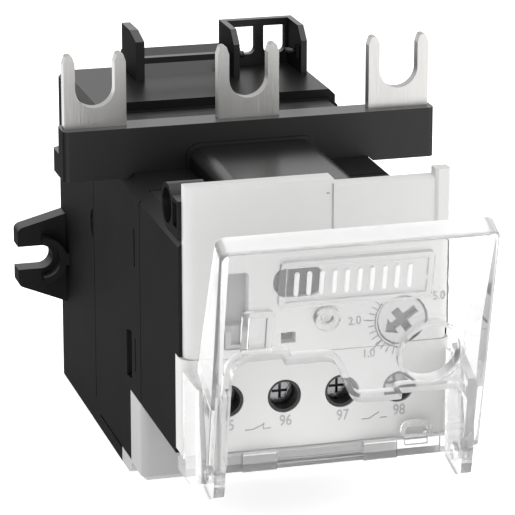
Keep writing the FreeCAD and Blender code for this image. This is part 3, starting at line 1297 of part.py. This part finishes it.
def clear_guard():
    """The hinged guard, drawn closed and then swung open to where it rests."""
    opening = guard_cut()
    rim = on_panel(guard_rim(opening))
    shell = guard_shell().cut(on_panel(opening))
    access = on_panel(rod("y", GUARD_HALF_WIDTH - RING_INSET, RING_HIGH, -1, GUARD_WALL + 1,
                          RING_RADIUS - RING_WALL))
    features = [on_panel(shape) for shape in (guard_pad(), guard_pocket(), guard_boss(), guard_ring())]
    guard = join([shell.cut(access), rim] + both(guard_leg()) + features)
    guard.rotate(Vector(0, PIVOT_Y, PIVOT_Z), AXES["x"], GUARD_OPEN)
    return guard


# ------------------------------------------------------------------ writing
def pieces():
    """Every node's name and shape."""
    nodes = {
        "front_housing": front_housing(), "side_socket": side_socket(), "middle_housing": middle_housing(),
        "rear_housing": rear_housing(), "contactor_latch": contactor_latch(),
        "terminal_bar": terminal_bar(), "lower_terminal_cover": lower_terminal_cover(),
        "face_plate": face_plate(), "terminal_face": terminal_face(), "top_hood": top_hood(),
        "reset_button": reset_button(), "reset_spring": reset_spring(), "test_slide": test_slide(),
        "adjustment_dial": adjustment_dial(), "potentiometer": potentiometer(),
        "contact_block": contact_block(), "terminal_washers": terminal_washers(),
        "control_screws": control_screws(), "load_screws": load_screws(),
        "contact_carrier": contact_carrier(), "trip_flag": trip_flag(),
        "nc_bridge": bridge(CONTROL_XS[0], CONTROL_XS[1], nc_bridge_low()),
        "no_bridge": bridge(CONTROL_XS[2], CONTROL_XS[3], no_bridge_low()),
        "trip_yoke": trip_yoke(), "trip_bobbin": trip_bobbin(), "trip_coil": trip_coil(),
        "trip_plunger": trip_plunger(), "control_board": control_board(),
        "control_chips": control_chips(), "power_board": power_board(),
        "storage_capacitor": storage_capacitor(), "board_ribbon": board_ribbon(),
        "base_frame": base_frame(), "clear_guard": clear_guard(),
    }
    for number, x in zip((95, 96, 97, 98), CONTROL_XS):
        nodes[f"contact_strip_{number}"] = contact_strip(x, number > 96)
    for name, side in POLES.items():
        nodes[f"line_bar_{name}"] = line_bar(side)
        nodes[f"transformer_core_{name}"] = transformer_core(side)
        nodes[f"transformer_winding_{name}"] = transformer_winding(side)
        nodes[f"load_clamp_{name}"] = load_clamp(side)
    return nodes


def main():
    os.makedirs("parts", exist_ok=True)
    to_mounting_face = Vector(0, -BODY_DEPTH, -EAR_LEVEL)
    for name, shape in pieces().items():
        shape.translate(to_mounting_face)
        shape.exportStep(f"parts/{name}.step")


main()
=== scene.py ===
"""The look of an electronic overload relay with a clear hinged guard, dressed over its CAD frame."""
import bpy
import math
from mathutils import Matrix, Vector


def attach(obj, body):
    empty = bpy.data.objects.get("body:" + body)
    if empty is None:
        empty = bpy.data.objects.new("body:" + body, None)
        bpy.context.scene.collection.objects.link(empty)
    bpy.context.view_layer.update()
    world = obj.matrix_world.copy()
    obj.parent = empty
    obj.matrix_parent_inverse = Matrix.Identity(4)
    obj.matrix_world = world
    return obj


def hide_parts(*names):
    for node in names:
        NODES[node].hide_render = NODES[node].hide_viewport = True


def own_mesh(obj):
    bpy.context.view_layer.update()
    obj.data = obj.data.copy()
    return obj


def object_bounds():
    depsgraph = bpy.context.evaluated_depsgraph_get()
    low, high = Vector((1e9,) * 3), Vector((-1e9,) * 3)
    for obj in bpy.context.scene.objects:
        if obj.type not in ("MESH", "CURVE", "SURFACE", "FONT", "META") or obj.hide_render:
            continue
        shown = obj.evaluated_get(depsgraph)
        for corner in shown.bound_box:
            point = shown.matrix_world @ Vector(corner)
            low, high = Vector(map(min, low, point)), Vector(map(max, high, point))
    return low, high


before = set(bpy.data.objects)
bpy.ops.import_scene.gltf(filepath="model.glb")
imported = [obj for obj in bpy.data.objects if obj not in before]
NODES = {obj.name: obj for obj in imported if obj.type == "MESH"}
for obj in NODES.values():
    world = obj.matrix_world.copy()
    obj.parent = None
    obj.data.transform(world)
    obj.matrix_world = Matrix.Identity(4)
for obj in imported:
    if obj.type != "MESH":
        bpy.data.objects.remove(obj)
CAD_LOW, CAD_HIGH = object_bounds()

# Lengths are given in millimetres, and MM turns them into the scene's metres.
MM = 0.001
BODY_DEPTH = 92.0  # from the face plate to the rear mounting face, where the origin lies
EAR_LEVEL = 11.4  # height of the origin above the face plate's foot
POLES = ("left", "center", "right")
TERMINALS = ("95", "96", "97", "98")
GUARD_OPEN = math.radians(24.8)  # swung out from closed, as the guard stands at rest
GUARD_LEAN = math.radians(12.7)  # of the closed guard's panel, top to the rear
PANEL_LEAN = GUARD_OPEN - GUARD_LEAN  # of the panel at rest, top to the front


def at(x, y, z):
    """A point given in millimetres from the middle of the face plate's foot."""
    return Vector((x * MM, (y - BODY_DEPTH) * MM, (z - EAR_LEVEL) * MM))


# ------------------------------------------------------------------ how materials are made
GRAIN_HEIGHT = 0.3  # of the grain's size
BROAD_GRAIN = 24  # size of the broad changes of colour and roughness, in grains


def shader_of(material):
    return material.node_tree.nodes["Principled BSDF"]


def new_material(name, color, roughness, metallic=0.0, **sockets):
    """A plain material. Further sockets go by their names, with _ for each space."""
    material = bpy.data.materials.new(name)
    material.use_nodes = True
    inputs = shader_of(material).inputs
    inputs["Base Color"].default_value = (*color, 1.0)
    inputs["Roughness"].default_value = roughness
    inputs["Metallic"].default_value = metallic
    for socket, value in sockets.items():
        inputs[socket.replace("_", " ")].default_value = value
    return material


def add_node(material, kind, **values):
    """A shader node, with its sockets or settings given by name."""
    made = material.node_tree.nodes.new(kind)
    for key, value in values.items():
        if key in made.inputs:
            made.inputs[key].default_value = value
        else:
            setattr(made, key, value)
    return made


def wire(material, *pairs):
    """Link sockets, given as output, input, output, input."""
    for start, end in zip(pairs[::2], pairs[1::2]):
        material.node_tree.links.new(start, end)


def remapped(material, value, span, result):
    """A value carried from one span to another, and held at its ends."""
    made = add_node(material, "ShaderNodeMapRange")
    for name, number in zip(("From Min", "From Max", "To Min", "To Max"), (*span, *result)):
        made.inputs[name].default_value = number
    wire(material, value, made.inputs["Value"])
    return made.outputs["Result"]


def spread_color(material, value, spread):
    """Let the colour run a share to both sides of itself as a value grows."""
    base = shader_of(material).inputs["Base Color"]
    ramp = add_node(material, "ShaderNodeValToRGB")
    for element, place, factor in zip(ramp.color_ramp.elements, (0.3, 0.7), (1 - spread, 1 + spread)):
        element.position = place
        element.color = (*[min(1.0, part * factor) for part in base.default_value[:3]], 1.0)
    wire(material, value, ramp.inputs["Fac"], ramp.outputs["Color"], base)


def add_grain(material, size, bump, spread=0.0, stretch=(1, 1, 1), rough_spread=0.0):
    """Surface grain of a size, and broad changes of colour and roughness."""
    shader = shader_of(material)
    place = add_node(material, "ShaderNodeTexCoord")
    mapping = add_node(material, "ShaderNodeMapping", Scale=stretch)
    fine = add_node(material, "ShaderNodeTexNoise", Scale=1 / (size * MM), Detail=3.0, Roughness=0.6)
    height = add_node(material, "ShaderNodeBump", Strength=bump, Distance=size * MM * GRAIN_HEIGHT)
    broad = add_node(material, "ShaderNodeTexNoise", Scale=1 / (size * MM * BROAD_GRAIN), Detail=2.0)
    wire(material, place.outputs["Object"], mapping.inputs["Vector"],
         mapping.outputs["Vector"], fine.inputs["Vector"],
         mapping.outputs["Vector"], broad.inputs["Vector"],
         fine.outputs["Fac"], height.inputs["Height"],
         height.outputs["Normal"], shader.inputs["Normal"])
    if spread:
        spread_color(material, broad.outputs["Fac"], spread)
    if rough_spread:
        base = shader.inputs["Roughness"].default_value
        changed = remapped(material, broad.outputs["Fac"], (0, 1), (base - rough_spread, base + rough_spread))
        wire(material, changed, shader.inputs["Roughness"])


def surface(name, color, roughness, grain, bump, metallic=0.0, spread=0.0, stretch=(1, 1, 1),
            rough_spread=0.0, **sockets):
    """A material with grain of a size."""
    material = new_material(name, color, roughness, metallic, **sockets)
    add_grain(material, grain, bump, spread, stretch, rough_spread)
    return material


def by_facing(material, normal, direction, span, results, both_ways=False):
    """Let sockets run between two values as a face turns towards a direction."""
    facing = add_node(material, "ShaderNodeVectorMath", operation="DOT_PRODUCT")
    facing.inputs[1].default_value = direction
    wire(material, normal, facing.inputs[0])
    value = facing.outputs["Value"]
    if both_ways:
        size = add_node(material, "ShaderNodeMath", operation="ABSOLUTE")
        wire(material, value, size.inputs[0])
        value = size.outputs["Value"]
    for socket, result in results.items():
        wire(material, remapped(material, value, span, result), shader_of(material).inputs[socket])


def clear_plastic(name, haze, across):
    """Clear plastic, hazy in its depth, and less clear and whiter on the moulded edges that look along a
    direction: a painted highlight for the brightness light gives those edges.
    """
    material = surface(name, (1.0, 1.0, 1.0), 0.02, grain=3.0, bump=0.01, IOR=1.49)
    scatter = add_node(material, "ShaderNodeVolumeScatter", Density=haze, Anisotropy=0.3)
    wire(material, scatter.outputs["Volume"], material.node_tree.nodes["Material Output"].inputs["Volume"])
    place = add_node(material, "ShaderNodeTexCoord")
    by_facing(material, place.outputs["Normal"], across, (0.25, 0.85),
              {"Transmission Weight": (0.93, 0.5), "Roughness": (0.03, 0.2)}, both_ways=True)
    return material


def polished_on_top(material, side, top):
    """Let sheen grow as a face looks upward or forward; side and top are (roughness, specular level)."""
    facing = add_node(material, "ShaderNodeNewGeometry")
    by_facing(material, facing.outputs["Normal"], (0.0, -0.5, 1.0), (0.25, 0.85),
              {"Roughness": (side[0], top[0]), "Specular IOR Level": (side[1], top[1])})
    return material


def painted_depth_shade(material, node, start, end, share):
    """Painted shade: let the colour fall to a share of itself between two depths behind a node's front, as
    shade falls in a recess.
    """
    base = shader_of(material).inputs["Base Color"]
    front = min(corner[1] for corner in NODES[node].bound_box)
    place = add_node(material, "ShaderNodeTexCoord")
    split = add_node(material, "ShaderNodeSeparateXYZ")
    wire(material, place.outputs["Object"], split.inputs["Vector"])
    fall = remapped(material, split.outputs["Y"], (front + start * MM, front + end * MM), (1.0, share))
    shaded_tone = add_node(material, "ShaderNodeVectorMath", operation="SCALE")
    shaded_tone.inputs[0].default_value = base.default_value[:3]
    wire(material, fall, shaded_tone.inputs["Scale"], shaded_tone.outputs["Vector"], base)
    return material


# ------------------------------------------------------------------ the relay's materials
BLACK = polished_on_top(
    surface("moulded_black", (0.007, 0.007, 0.0075), 0.36, grain=0.35, bump=0.25, spread=0.12),
    side=(0.72, 0.025), top=(0.34, 0.4))
BLACK_GLOSS = polished_on_top(
    surface("moulded_black_gloss", (0.006, 0.006, 0.0065), 0.27, grain=0.6, bump=0.08, spread=0.1),
    side=(0.72, 0.03), top=(0.24, 0.85))
FACE = surface("face_light_grey", (0.60, 0.60, 0.595), 0.42, grain=0.4, bump=0.06, spread=0.015,
               rough_spread=0.04)
COVER = surface("cover_mid_grey", (0.37, 0.37, 0.37), 0.42, grain=0.4, bump=0.1, spread=0.02,
                rough_spread=0.04)
FROSTED = surface("frosted_polycarbonate", (0.92, 0.92, 0.92), 0.3, grain=0.3, bump=0.1, spread=0.02,
                  Transmission_Weight=0.55, IOR=1.3)
# On both clear materials the faces that look along the given direction are whitened: painted highlight.
CLEAR = clear_plastic("clear_polycarbonate", 60.0, (0.0, -math.sin(PANEL_LEAN), math.cos(PANEL_LEAN)))
CLEAR_BASE = clear_plastic("clear_polycarbonate_base", 25.0, (0.0, 0.0, 1.0))
TINNED = surface("tinned_copper", (0.46, 0.455, 0.445), 0.36, grain=0.4, bump=0.25, metallic=1.0,
                 spread=0.12, stretch=(1, 1, 0.06), rough_spread=0.08)
ZINC = surface("zinc_plated_steel", (0.60, 0.60, 0.60), 0.36, grain=0.5, bump=0.1, metallic=1.0,
               spread=0.06, rough_spread=0.06)
# The screws' plated metal is given a darker colour than its own, partly painted shade for the deep holes the
# heads sit in.
SCREW = surface("plated_screw_painted_shade", (0.23, 0.23, 0.235), 0.15, grain=0.5, bump=0.3, metallic=1.0,
                spread=0.1, rough_spread=0.04)
CORE = surface("varnished_laminations", (0.10, 0.10, 0.11), 0.5, grain=0.35, bump=0.4, metallic=0.8,
               spread=0.1, stretch=(1, 1, 12), rough_spread=0.05)
WINDING = surface("enamelled_copper", (0.45, 0.16, 0.06), 0.3, grain=0.3, bump=0.5, metallic=0.7,
                  spread=0.1, stretch=(12, 1, 1), rough_spread=0.05)
BOARD = surface("circuit_board", (0.02, 0.13, 0.06), 0.4, grain=0.8, bump=0.08, spread=0.1)
CHIP = surface("moulded_epoxy", (0.02, 0.02, 0.02), 0.55, grain=0.2, bump=0.2, spread=0.1)
SLEEVE = surface("sleeved_can", (0.04, 0.07, 0.2), 0.35, grain=0.6, bump=0.05, spread=0.05)
IVORY = surface("natural_moulding", (0.62, 0.60, 0.52), 0.45, grain=0.4, bump=0.1, spread=0.03)
BRASS = surface("contact_brass", (0.66, 0.48, 0.2), 0.3, grain=0.4, bump=0.1, metallic=1.0, spread=0.05)
BUTTON = surface("button_dark_grey", (0.035, 0.035, 0.037), 0.4, grain=0.3, bump=0.12, spread=0.05)
SLIDE = surface("slide_grey", (0.30, 0.30, 0.30), 0.42, grain=0.3, bump=0.1, spread=0.03)
# The dial's cross slot grows darker with depth behind its front: painted shade in the recess.
DIAL = painted_depth_shade(
    surface("dial_grey", (0.52, 0.52, 0.52), 0.38, grain=0.3, bump=0.08),
    "adjustment_dial", start=0.1, end=1.1, share=0.2)
FLAG = surface("flag_buff", (0.24, 0.21, 0.15), 0.45, grain=0.3, bump=0.1, spread=0.03)
SCALE_MARK = surface("printed_ink", (0.11, 0.11, 0.12), 0.5, grain=0.2, bump=0.05, spread=0.1)
SCALE_INK = surface("printed_ink_scale", (0.2, 0.2, 0.21), 0.5, grain=0.2, bump=0.05, spread=0.1)
PALE_INK = surface("printed_ink_pale", (0.36, 0.36, 0.37), 0.5, grain=0.2, bump=0.05, spread=0.1)


# ------------------------------------------------------------------ dressing the CAD nodes
def each(stem, endings):
    return [stem + ending for ending in endings]


LOOKS = {
    BLACK: ["front_housing", "middle_housing", "rear_housing", "side_socket"],
    BLACK_GLOSS: ["contactor_latch", "terminal_bar", "top_hood"],
    FACE: ["face_plate", "terminal_face"],
    COVER: ["lower_terminal_cover"],
    CLEAR: ["clear_guard"],
    CLEAR_BASE: ["base_frame"],
    TINNED: each("line_bar_", POLES),
    ZINC: each("load_clamp_", POLES) + ["terminal_washers", "trip_yoke", "trip_plunger", "reset_spring"],
    SCREW: ["load_screws", "control_screws"],
    CORE: each("transformer_core_", POLES),
    WINDING: each("transformer_winding_", POLES) + ["trip_coil"],
    BOARD: ["control_board", "power_board"],
    CHIP: ["control_chips", "contact_block"],
    SLEEVE: ["storage_capacitor", "potentiometer"],
    IVORY: ["trip_bobbin", "board_ribbon", "contact_carrier"],
    BRASS: each("contact_strip_", TERMINALS) + ["nc_bridge", "no_bridge"],
    BUTTON: ["reset_button"],
    SLIDE: ["test_slide"],
    DIAL: ["adjustment_dial"],
    FLAG: ["trip_flag"],
}
EDGE_ROUNDS = {
    0.25: ["front_housing", "middle_housing", "rear_housing", "top_hood"],
    0.18: ["contactor_latch", "terminal_bar", "face_plate", "terminal_face", "lower_terminal_cover"],
    0.14: ["clear_guard", "base_frame"],
    0.12: each("line_bar_", POLES) + ["reset_button", "test_slide"],
}


def dress(node, material):
    materials = NODES[node].data.materials
    if not materials:
        materials.append(material)
    for index in range(len(materials)):
        materials[index] = material


def soften(node, width):
    """Small moulded rounds on a CAD node's edges, once its flat faces are whole again."""
    flats = NODES[node].modifiers.new("flats", "DECIMATE")
    flats.decimate_type = "DISSOLVE"
    flats.angle_limit = math.radians(1)
    rounds = NODES[node].modifiers.new("rounds", "BEVEL")
    rounds.width = width * MM
    rounds.segments = 2
    rounds.limit_method = "ANGLE"
    rounds.angle_limit = math.radians(35)
    rounds.harden_normals = True


for look, names in LOOKS.items():
    for name in names:
        dress(name, look)
for width, names in EDGE_ROUNDS.items():
    for name in names:
        soften(name, width)


# ------------------------------------------------------------------ printed marks
UPRIGHT = Matrix.Rotation(math.radians(90), 4, "X")
INK_THICK = 0.02
CAPITAL_HEIGHT = 0.7  # of the size of a letter
DIAL_X, DIAL_Z = 14.0, 23.6
SCALE_RADIUS = 4.6
TICK_START, TICK_END, LONG_TICK_END = 4.7, 5.9, 6.6
TERMINAL_FIRST, TERMINAL_PITCH = -15.2, 9.6
NUMBER_LEVEL = 7.9
SYMBOL_LEVEL = 6.9
SYMBOL_LENGTH, SYMBOL_LEAD, SYMBOL_LINE = 4.3, 1.3, 0.18


def keep(piece, material, body):
    """Give a new piece its material, and its place in the frame."""
    piece.data.materials.clear()
    piece.data.materials.append(material)
    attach(piece, body)
    return piece


def added(name, data):
    piece = bpy.data.objects.new(name, data)
    bpy.context.collection.objects.link(piece)
    return piece


def printed(name, text, x, z, height, material, narrow, bold):
    """Plain characters on the face, centred on a point."""
    curve = bpy.data.curves.new(name, "FONT")
    curve.body = text
    curve.size = height * MM / CAPITAL_HEIGHT
    curve.align_x = "CENTER"
    curve.align_y = "CENTER"
    curve.extrude = INK_THICK * MM
    curve.offset = bold * MM
    piece = added(name, curve)
    place = Matrix.Translation(at(x, -INK_THICK, z))
    piece.matrix_world = place @ UPRIGHT @ Matrix.Diagonal((narrow, 1, 1, 1))
    keep(piece, material, "relay")


def lines(name, strokes, width, material):
    """Strokes of one width on the face; each is a list of (x, z) points."""
    curve = bpy.data.curves.new(name, "CURVE")
    curve.dimensions = "3D"
    for stroke in strokes:
        spline = curve.splines.new("POLY")
        spline.points.add(len(stroke) - 1)
        for target, (x, z) in zip(spline.points, stroke):
            target.co = (*at(x, 0, z), 1.0)
    curve.bevel_depth = width / 2 * MM
    curve.bevel_resolution = 1
    keep(added(name, curve), material, "relay")


def around_dial(radius, angle):
    turn = math.radians(angle)
    return DIAL_X + radius * math.cos(turn), DIAL_Z + radius * math.sin(turn)


def dial_scale():
    """An arc round the dial's left side, its ticks, and three plain numbers."""
    lines("dial_arc", [[around_dial(SCALE_RADIUS, angle) for angle in range(138, 268, 4)]], 0.26, SCALE_MARK)
    ends = [(angle, TICK_END) for angle in range(143, 268, 11)] + [(176, LONG_TICK_END), (222, LONG_TICK_END)]
    ticks = [[around_dial(TICK_START, angle), around_dial(end, angle)] for angle, end in ends]
    lines("dial_ticks", ticks, 0.17, SCALE_MARK)
    numbers = (("scale_1", "1.0", 8.3, 18.4), ("scale_2", "2.0", 5.9, 24.1), ("scale_5", "5.0", 20.1, 27.2))
    for name, text, x, z in numbers:
        printed(name, text, x, z, 1.4, SCALE_INK, narrow=0.9, bold=0.02)


def contact_symbol(name, left, blade_tip, fixed_part):
    """A contact between two leads; points are given from the left lead's outer end."""
    strokes = [[(0, 0), (SYMBOL_LEAD, 0), blade_tip], fixed_part + [(SYMBOL_LENGTH, 0)]]
    placed = [[(left + x, SYMBOL_LEVEL + z) for x, z in stroke] for stroke in strokes]
    lines(name, placed, SYMBOL_LINE, PALE_INK)


def terminal_marks():
    """The terminals' numbers, a contact symbol between each two, and a short dash on the plate."""
    for order, text in enumerate(TERMINALS):
        x = TERMINAL_FIRST + TERMINAL_PITCH * order
        printed("terminal_" + text, text, x + 0.2, NUMBER_LEVEL, 1.8, PALE_INK, narrow=0.82, bold=0.03)
    contact_symbol("closed_contact", -12.2, (3.3, 0.8), [(3.1, 1.0), (3.1, 0)])
    contact_symbol("open_contact", 7.4, (3.0, 1.0), [(3.1, 0)])
    lines("plate_dash", [[(1.2, 45.5), (1.8, 45.5)]], 0.25, PALE_INK)


dial_scale()
terminal_marks()


# ------------------------------------------------------------------ small pieces
PANEL_FOOT = (0, -15.1 * MM, 3.6 * MM)  # of the closed guard
GUARD_PIVOT = (0, -10.3 * MM, 4.0 * MM)


def add_skin(points, faces, rings):
    """A closed skin over rings of points, each with as many points as the next."""
    first, size = len(points), len(rings[0])
    points += [point for ring in rings for point in ring]
    for start in range(first, len(points) - size, size):
        for step in range(size):
            one, two = start + step, start + (step + 1) % size
            faces.append((one, two, two + size, one + size))
    faces.append(tuple(range(first, first + size))[::-1])
    faces.append(tuple(range(len(points) - size, len(points))))


def mesh_piece(name, skins, material, body, smooth=True):
    """One piece of one or more skins; each skin is a list of rings."""
    points, faces = [], []
    for rings in skins:
        add_skin(points, faces, rings)
    mesh = bpy.data.meshes.new(name)
    mesh.from_pydata(points, [], faces)
    mesh.polygons.foreach_set("use_smooth", [smooth] * len(faces))
    mesh.update()
    return keep(added(name, mesh), material, body)


def bar_ring(x, y, z, depth, height, steps=20):
    """A square outline with well-rounded corners, across X; y and z are its front and foot."""
    ring = []
    for step in range(steps):
        turn = 2 * math.pi * step / steps
        wide, tall = math.cos(turn), math.sin(turn)
        out = (abs(wide) ** 4 + abs(tall) ** 4) ** 0.25
        ring.append(at(x, y + depth / 2 * (1 + wide / out), z + height / 2 * (1 + tall / out)))
    return ring


def cross_bar_ends():
    """Round-edged ends of the latch's cross bar, which show inside the frame's cheeks."""
    spans = ((8.2, 9.5), (17.6, 19.8))
    skins = [[bar_ring(x, y=79.8, z=48.7, depth=1.5, height=1.1) for x in span] for span in spans]
    mesh_piece("cross_bar_ends", skins, BLACK_GLOSS, "relay")


def spring(name, x, z, start, end, radius, wire_size, turns):
    """A coil of round wire along Y."""
    steps, sides = turns * 36, 8
    rings = []
    for step in range(steps + 1):
        turn = 2 * math.pi * turns * step / steps
        along = start + wire_size / 2 + (end - start - wire_size) * step / steps
        ring = []
        for side in range(sides):
            angle = 2 * math.pi * side / sides
            out = radius + wire_size / 2 * math.cos(angle)
            depth = along + wire_size / 2 * math.sin(angle)
            ring.append(at(x + out * math.cos(turn), depth, z + out * math.sin(turn)))
        rings.append(ring)
    piece = mesh_piece(name, [rings], ZINC, "relay")
    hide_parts("reset_spring")
    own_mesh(piece)


def panel_place():
    """From a point on the upright panel, foot at the origin, to the guard as it stands at rest."""
    closed = Matrix.Translation(PANEL_FOOT) @ Matrix.Rotation(-GUARD_LEAN, 4, "X")
    pivot = Matrix.Translation(GUARD_PIVOT)
    opened = pivot @ Matrix.Rotation(GUARD_OPEN, 4, "X") @ pivot.inverted()
    return Matrix.Translation(at(0, 0, 0)) @ opened @ closed


def round_ended(x, low, high, width, steps=10):
    """The (x, z) outline of an upright slot with round ends."""
    half = width / 2
    outline = []
    for middle, first in ((high - half, 0.0), (low + half, math.pi)):
        for step in range(steps + 1):
            turn = first + math.pi * step / steps
            outline.append((x + half * math.cos(turn), middle + half * math.sin(turn)))
    return outline


def grip_ribs():
    """Ten upright ribs with round ends on the push pad, narrowed at their crests."""
    place = panel_place()
    front, proud, narrowing = -0.32, 0.4, 0.3
    skins = []
    for rib in range(10):
        x = -10.3 + 2.0 * rib
        outline = round_ended(x, low=35.6, high=39.6, width=0.75)
        rings = []
        for inset, rise in ((0.0, 0.0), (0.0, proud / 2), (narrowing, proud)):
            depth = (front - rise) * MM
            drawn = [(px + (x - px) * inset, pz) for px, pz in outline]
            rings.append([place @ Vector((px * MM, depth, pz * MM)) for px, pz in drawn])
        skins.append(rings)
    mesh_piece("pad_grip_ribs", skins, FROSTED, "guard", smooth=False)


cross_bar_ends()
spring("button_spring", x=-3.4, z=31.6, start=3.7, end=7.7, radius=2.15, wire_size=0.4, turns=3)
grip_ribs()


# ------------------------------------------------------------------ floor, lights and camera
FLOOR_SIZE, FLOOR_GAP = 6, 0.0002  # in metres
LIT_POINT = at(0, 30, 20)
SOFTBOXES = (  # name, place and size in metres, power in watts
    ("key", (-0.5, -0.75, 0.75), 0.5, 1.0),
    ("top", (0.05, 0.05, 0.8), 0.6, 1.0),
    ("fill", (0.7, -0.7, 0.3), 0.6, 0.4),
    ("low", (0.30, -0.40, 0.05), 0.16, 0.3),
)
WORLD_STRENGTH = 0.9
CAMERA_PLACE = at(-137.88, -460.76, 181.97)
CAMERA_AXES = (  # its right, its up and its back
    Vector((0.96363, -0.26724, 0.0)),
    Vector((0.07813, 0.28174, 0.95630)),
    Vector((-0.25556, -0.92152, 0.29237)),
)
FOCAL_LENGTH, SENSOR_WIDTH = 220.8, 36.0
CLIP_START, CLIP_END = 0.05, 20  # in metres


def floor():
    bpy.ops.mesh.primitive_plane_add(size=FLOOR_SIZE, location=(0, 0, CAD_LOW.z - FLOOR_GAP))
    plane = bpy.context.object
    plane.name = "floor"
    plane.data.materials.append(new_material("floor_white", (0.93, 0.93, 0.93), 0.9,
                                             Emission_Color=(1, 1, 1, 1), Emission_Strength=0.65))


def softbox(name, location, size, power):
    """A square lamp that looks at the middle of the relay."""
    light = bpy.data.lights.new(name, "AREA")
    light.size = size
    light.energy = power
    piece = added(name, light)
    piece.location = location
    piece.rotation_euler = (LIT_POINT - Vector(location)).to_track_quat("-Z", "Y").to_euler()


def studio():
    """An even white surround and four soft lamps."""
    world = bpy.context.scene.world or bpy.data.worlds.new("studio")
    bpy.context.scene.world = world
    world.use_nodes = True
    background = world.node_tree.nodes["Background"]
    background.inputs["Color"].default_value = (1, 1, 1, 1)
    background.inputs["Strength"].default_value = WORLD_STRENGTH
    for name, location, size, power in SOFTBOXES:
        softbox(name, location, size, power)
    bpy.context.scene.view_settings.view_transform = "Standard"


def camera():
    """A long lens from the front left, a little above."""
    lens = bpy.data.cameras.new("camera")
    lens.sensor_width = SENSOR_WIDTH
    lens.lens = FOCAL_LENGTH
    lens.clip_start, lens.clip_end = CLIP_START, CLIP_END
    piece = added("camera", lens)
    piece.matrix_world = Matrix.Translation(CAMERA_PLACE) @ Matrix(CAMERA_AXES).transposed().to_4x4()
    bpy.context.scene.camera = piece


floor()
studio()
camera()
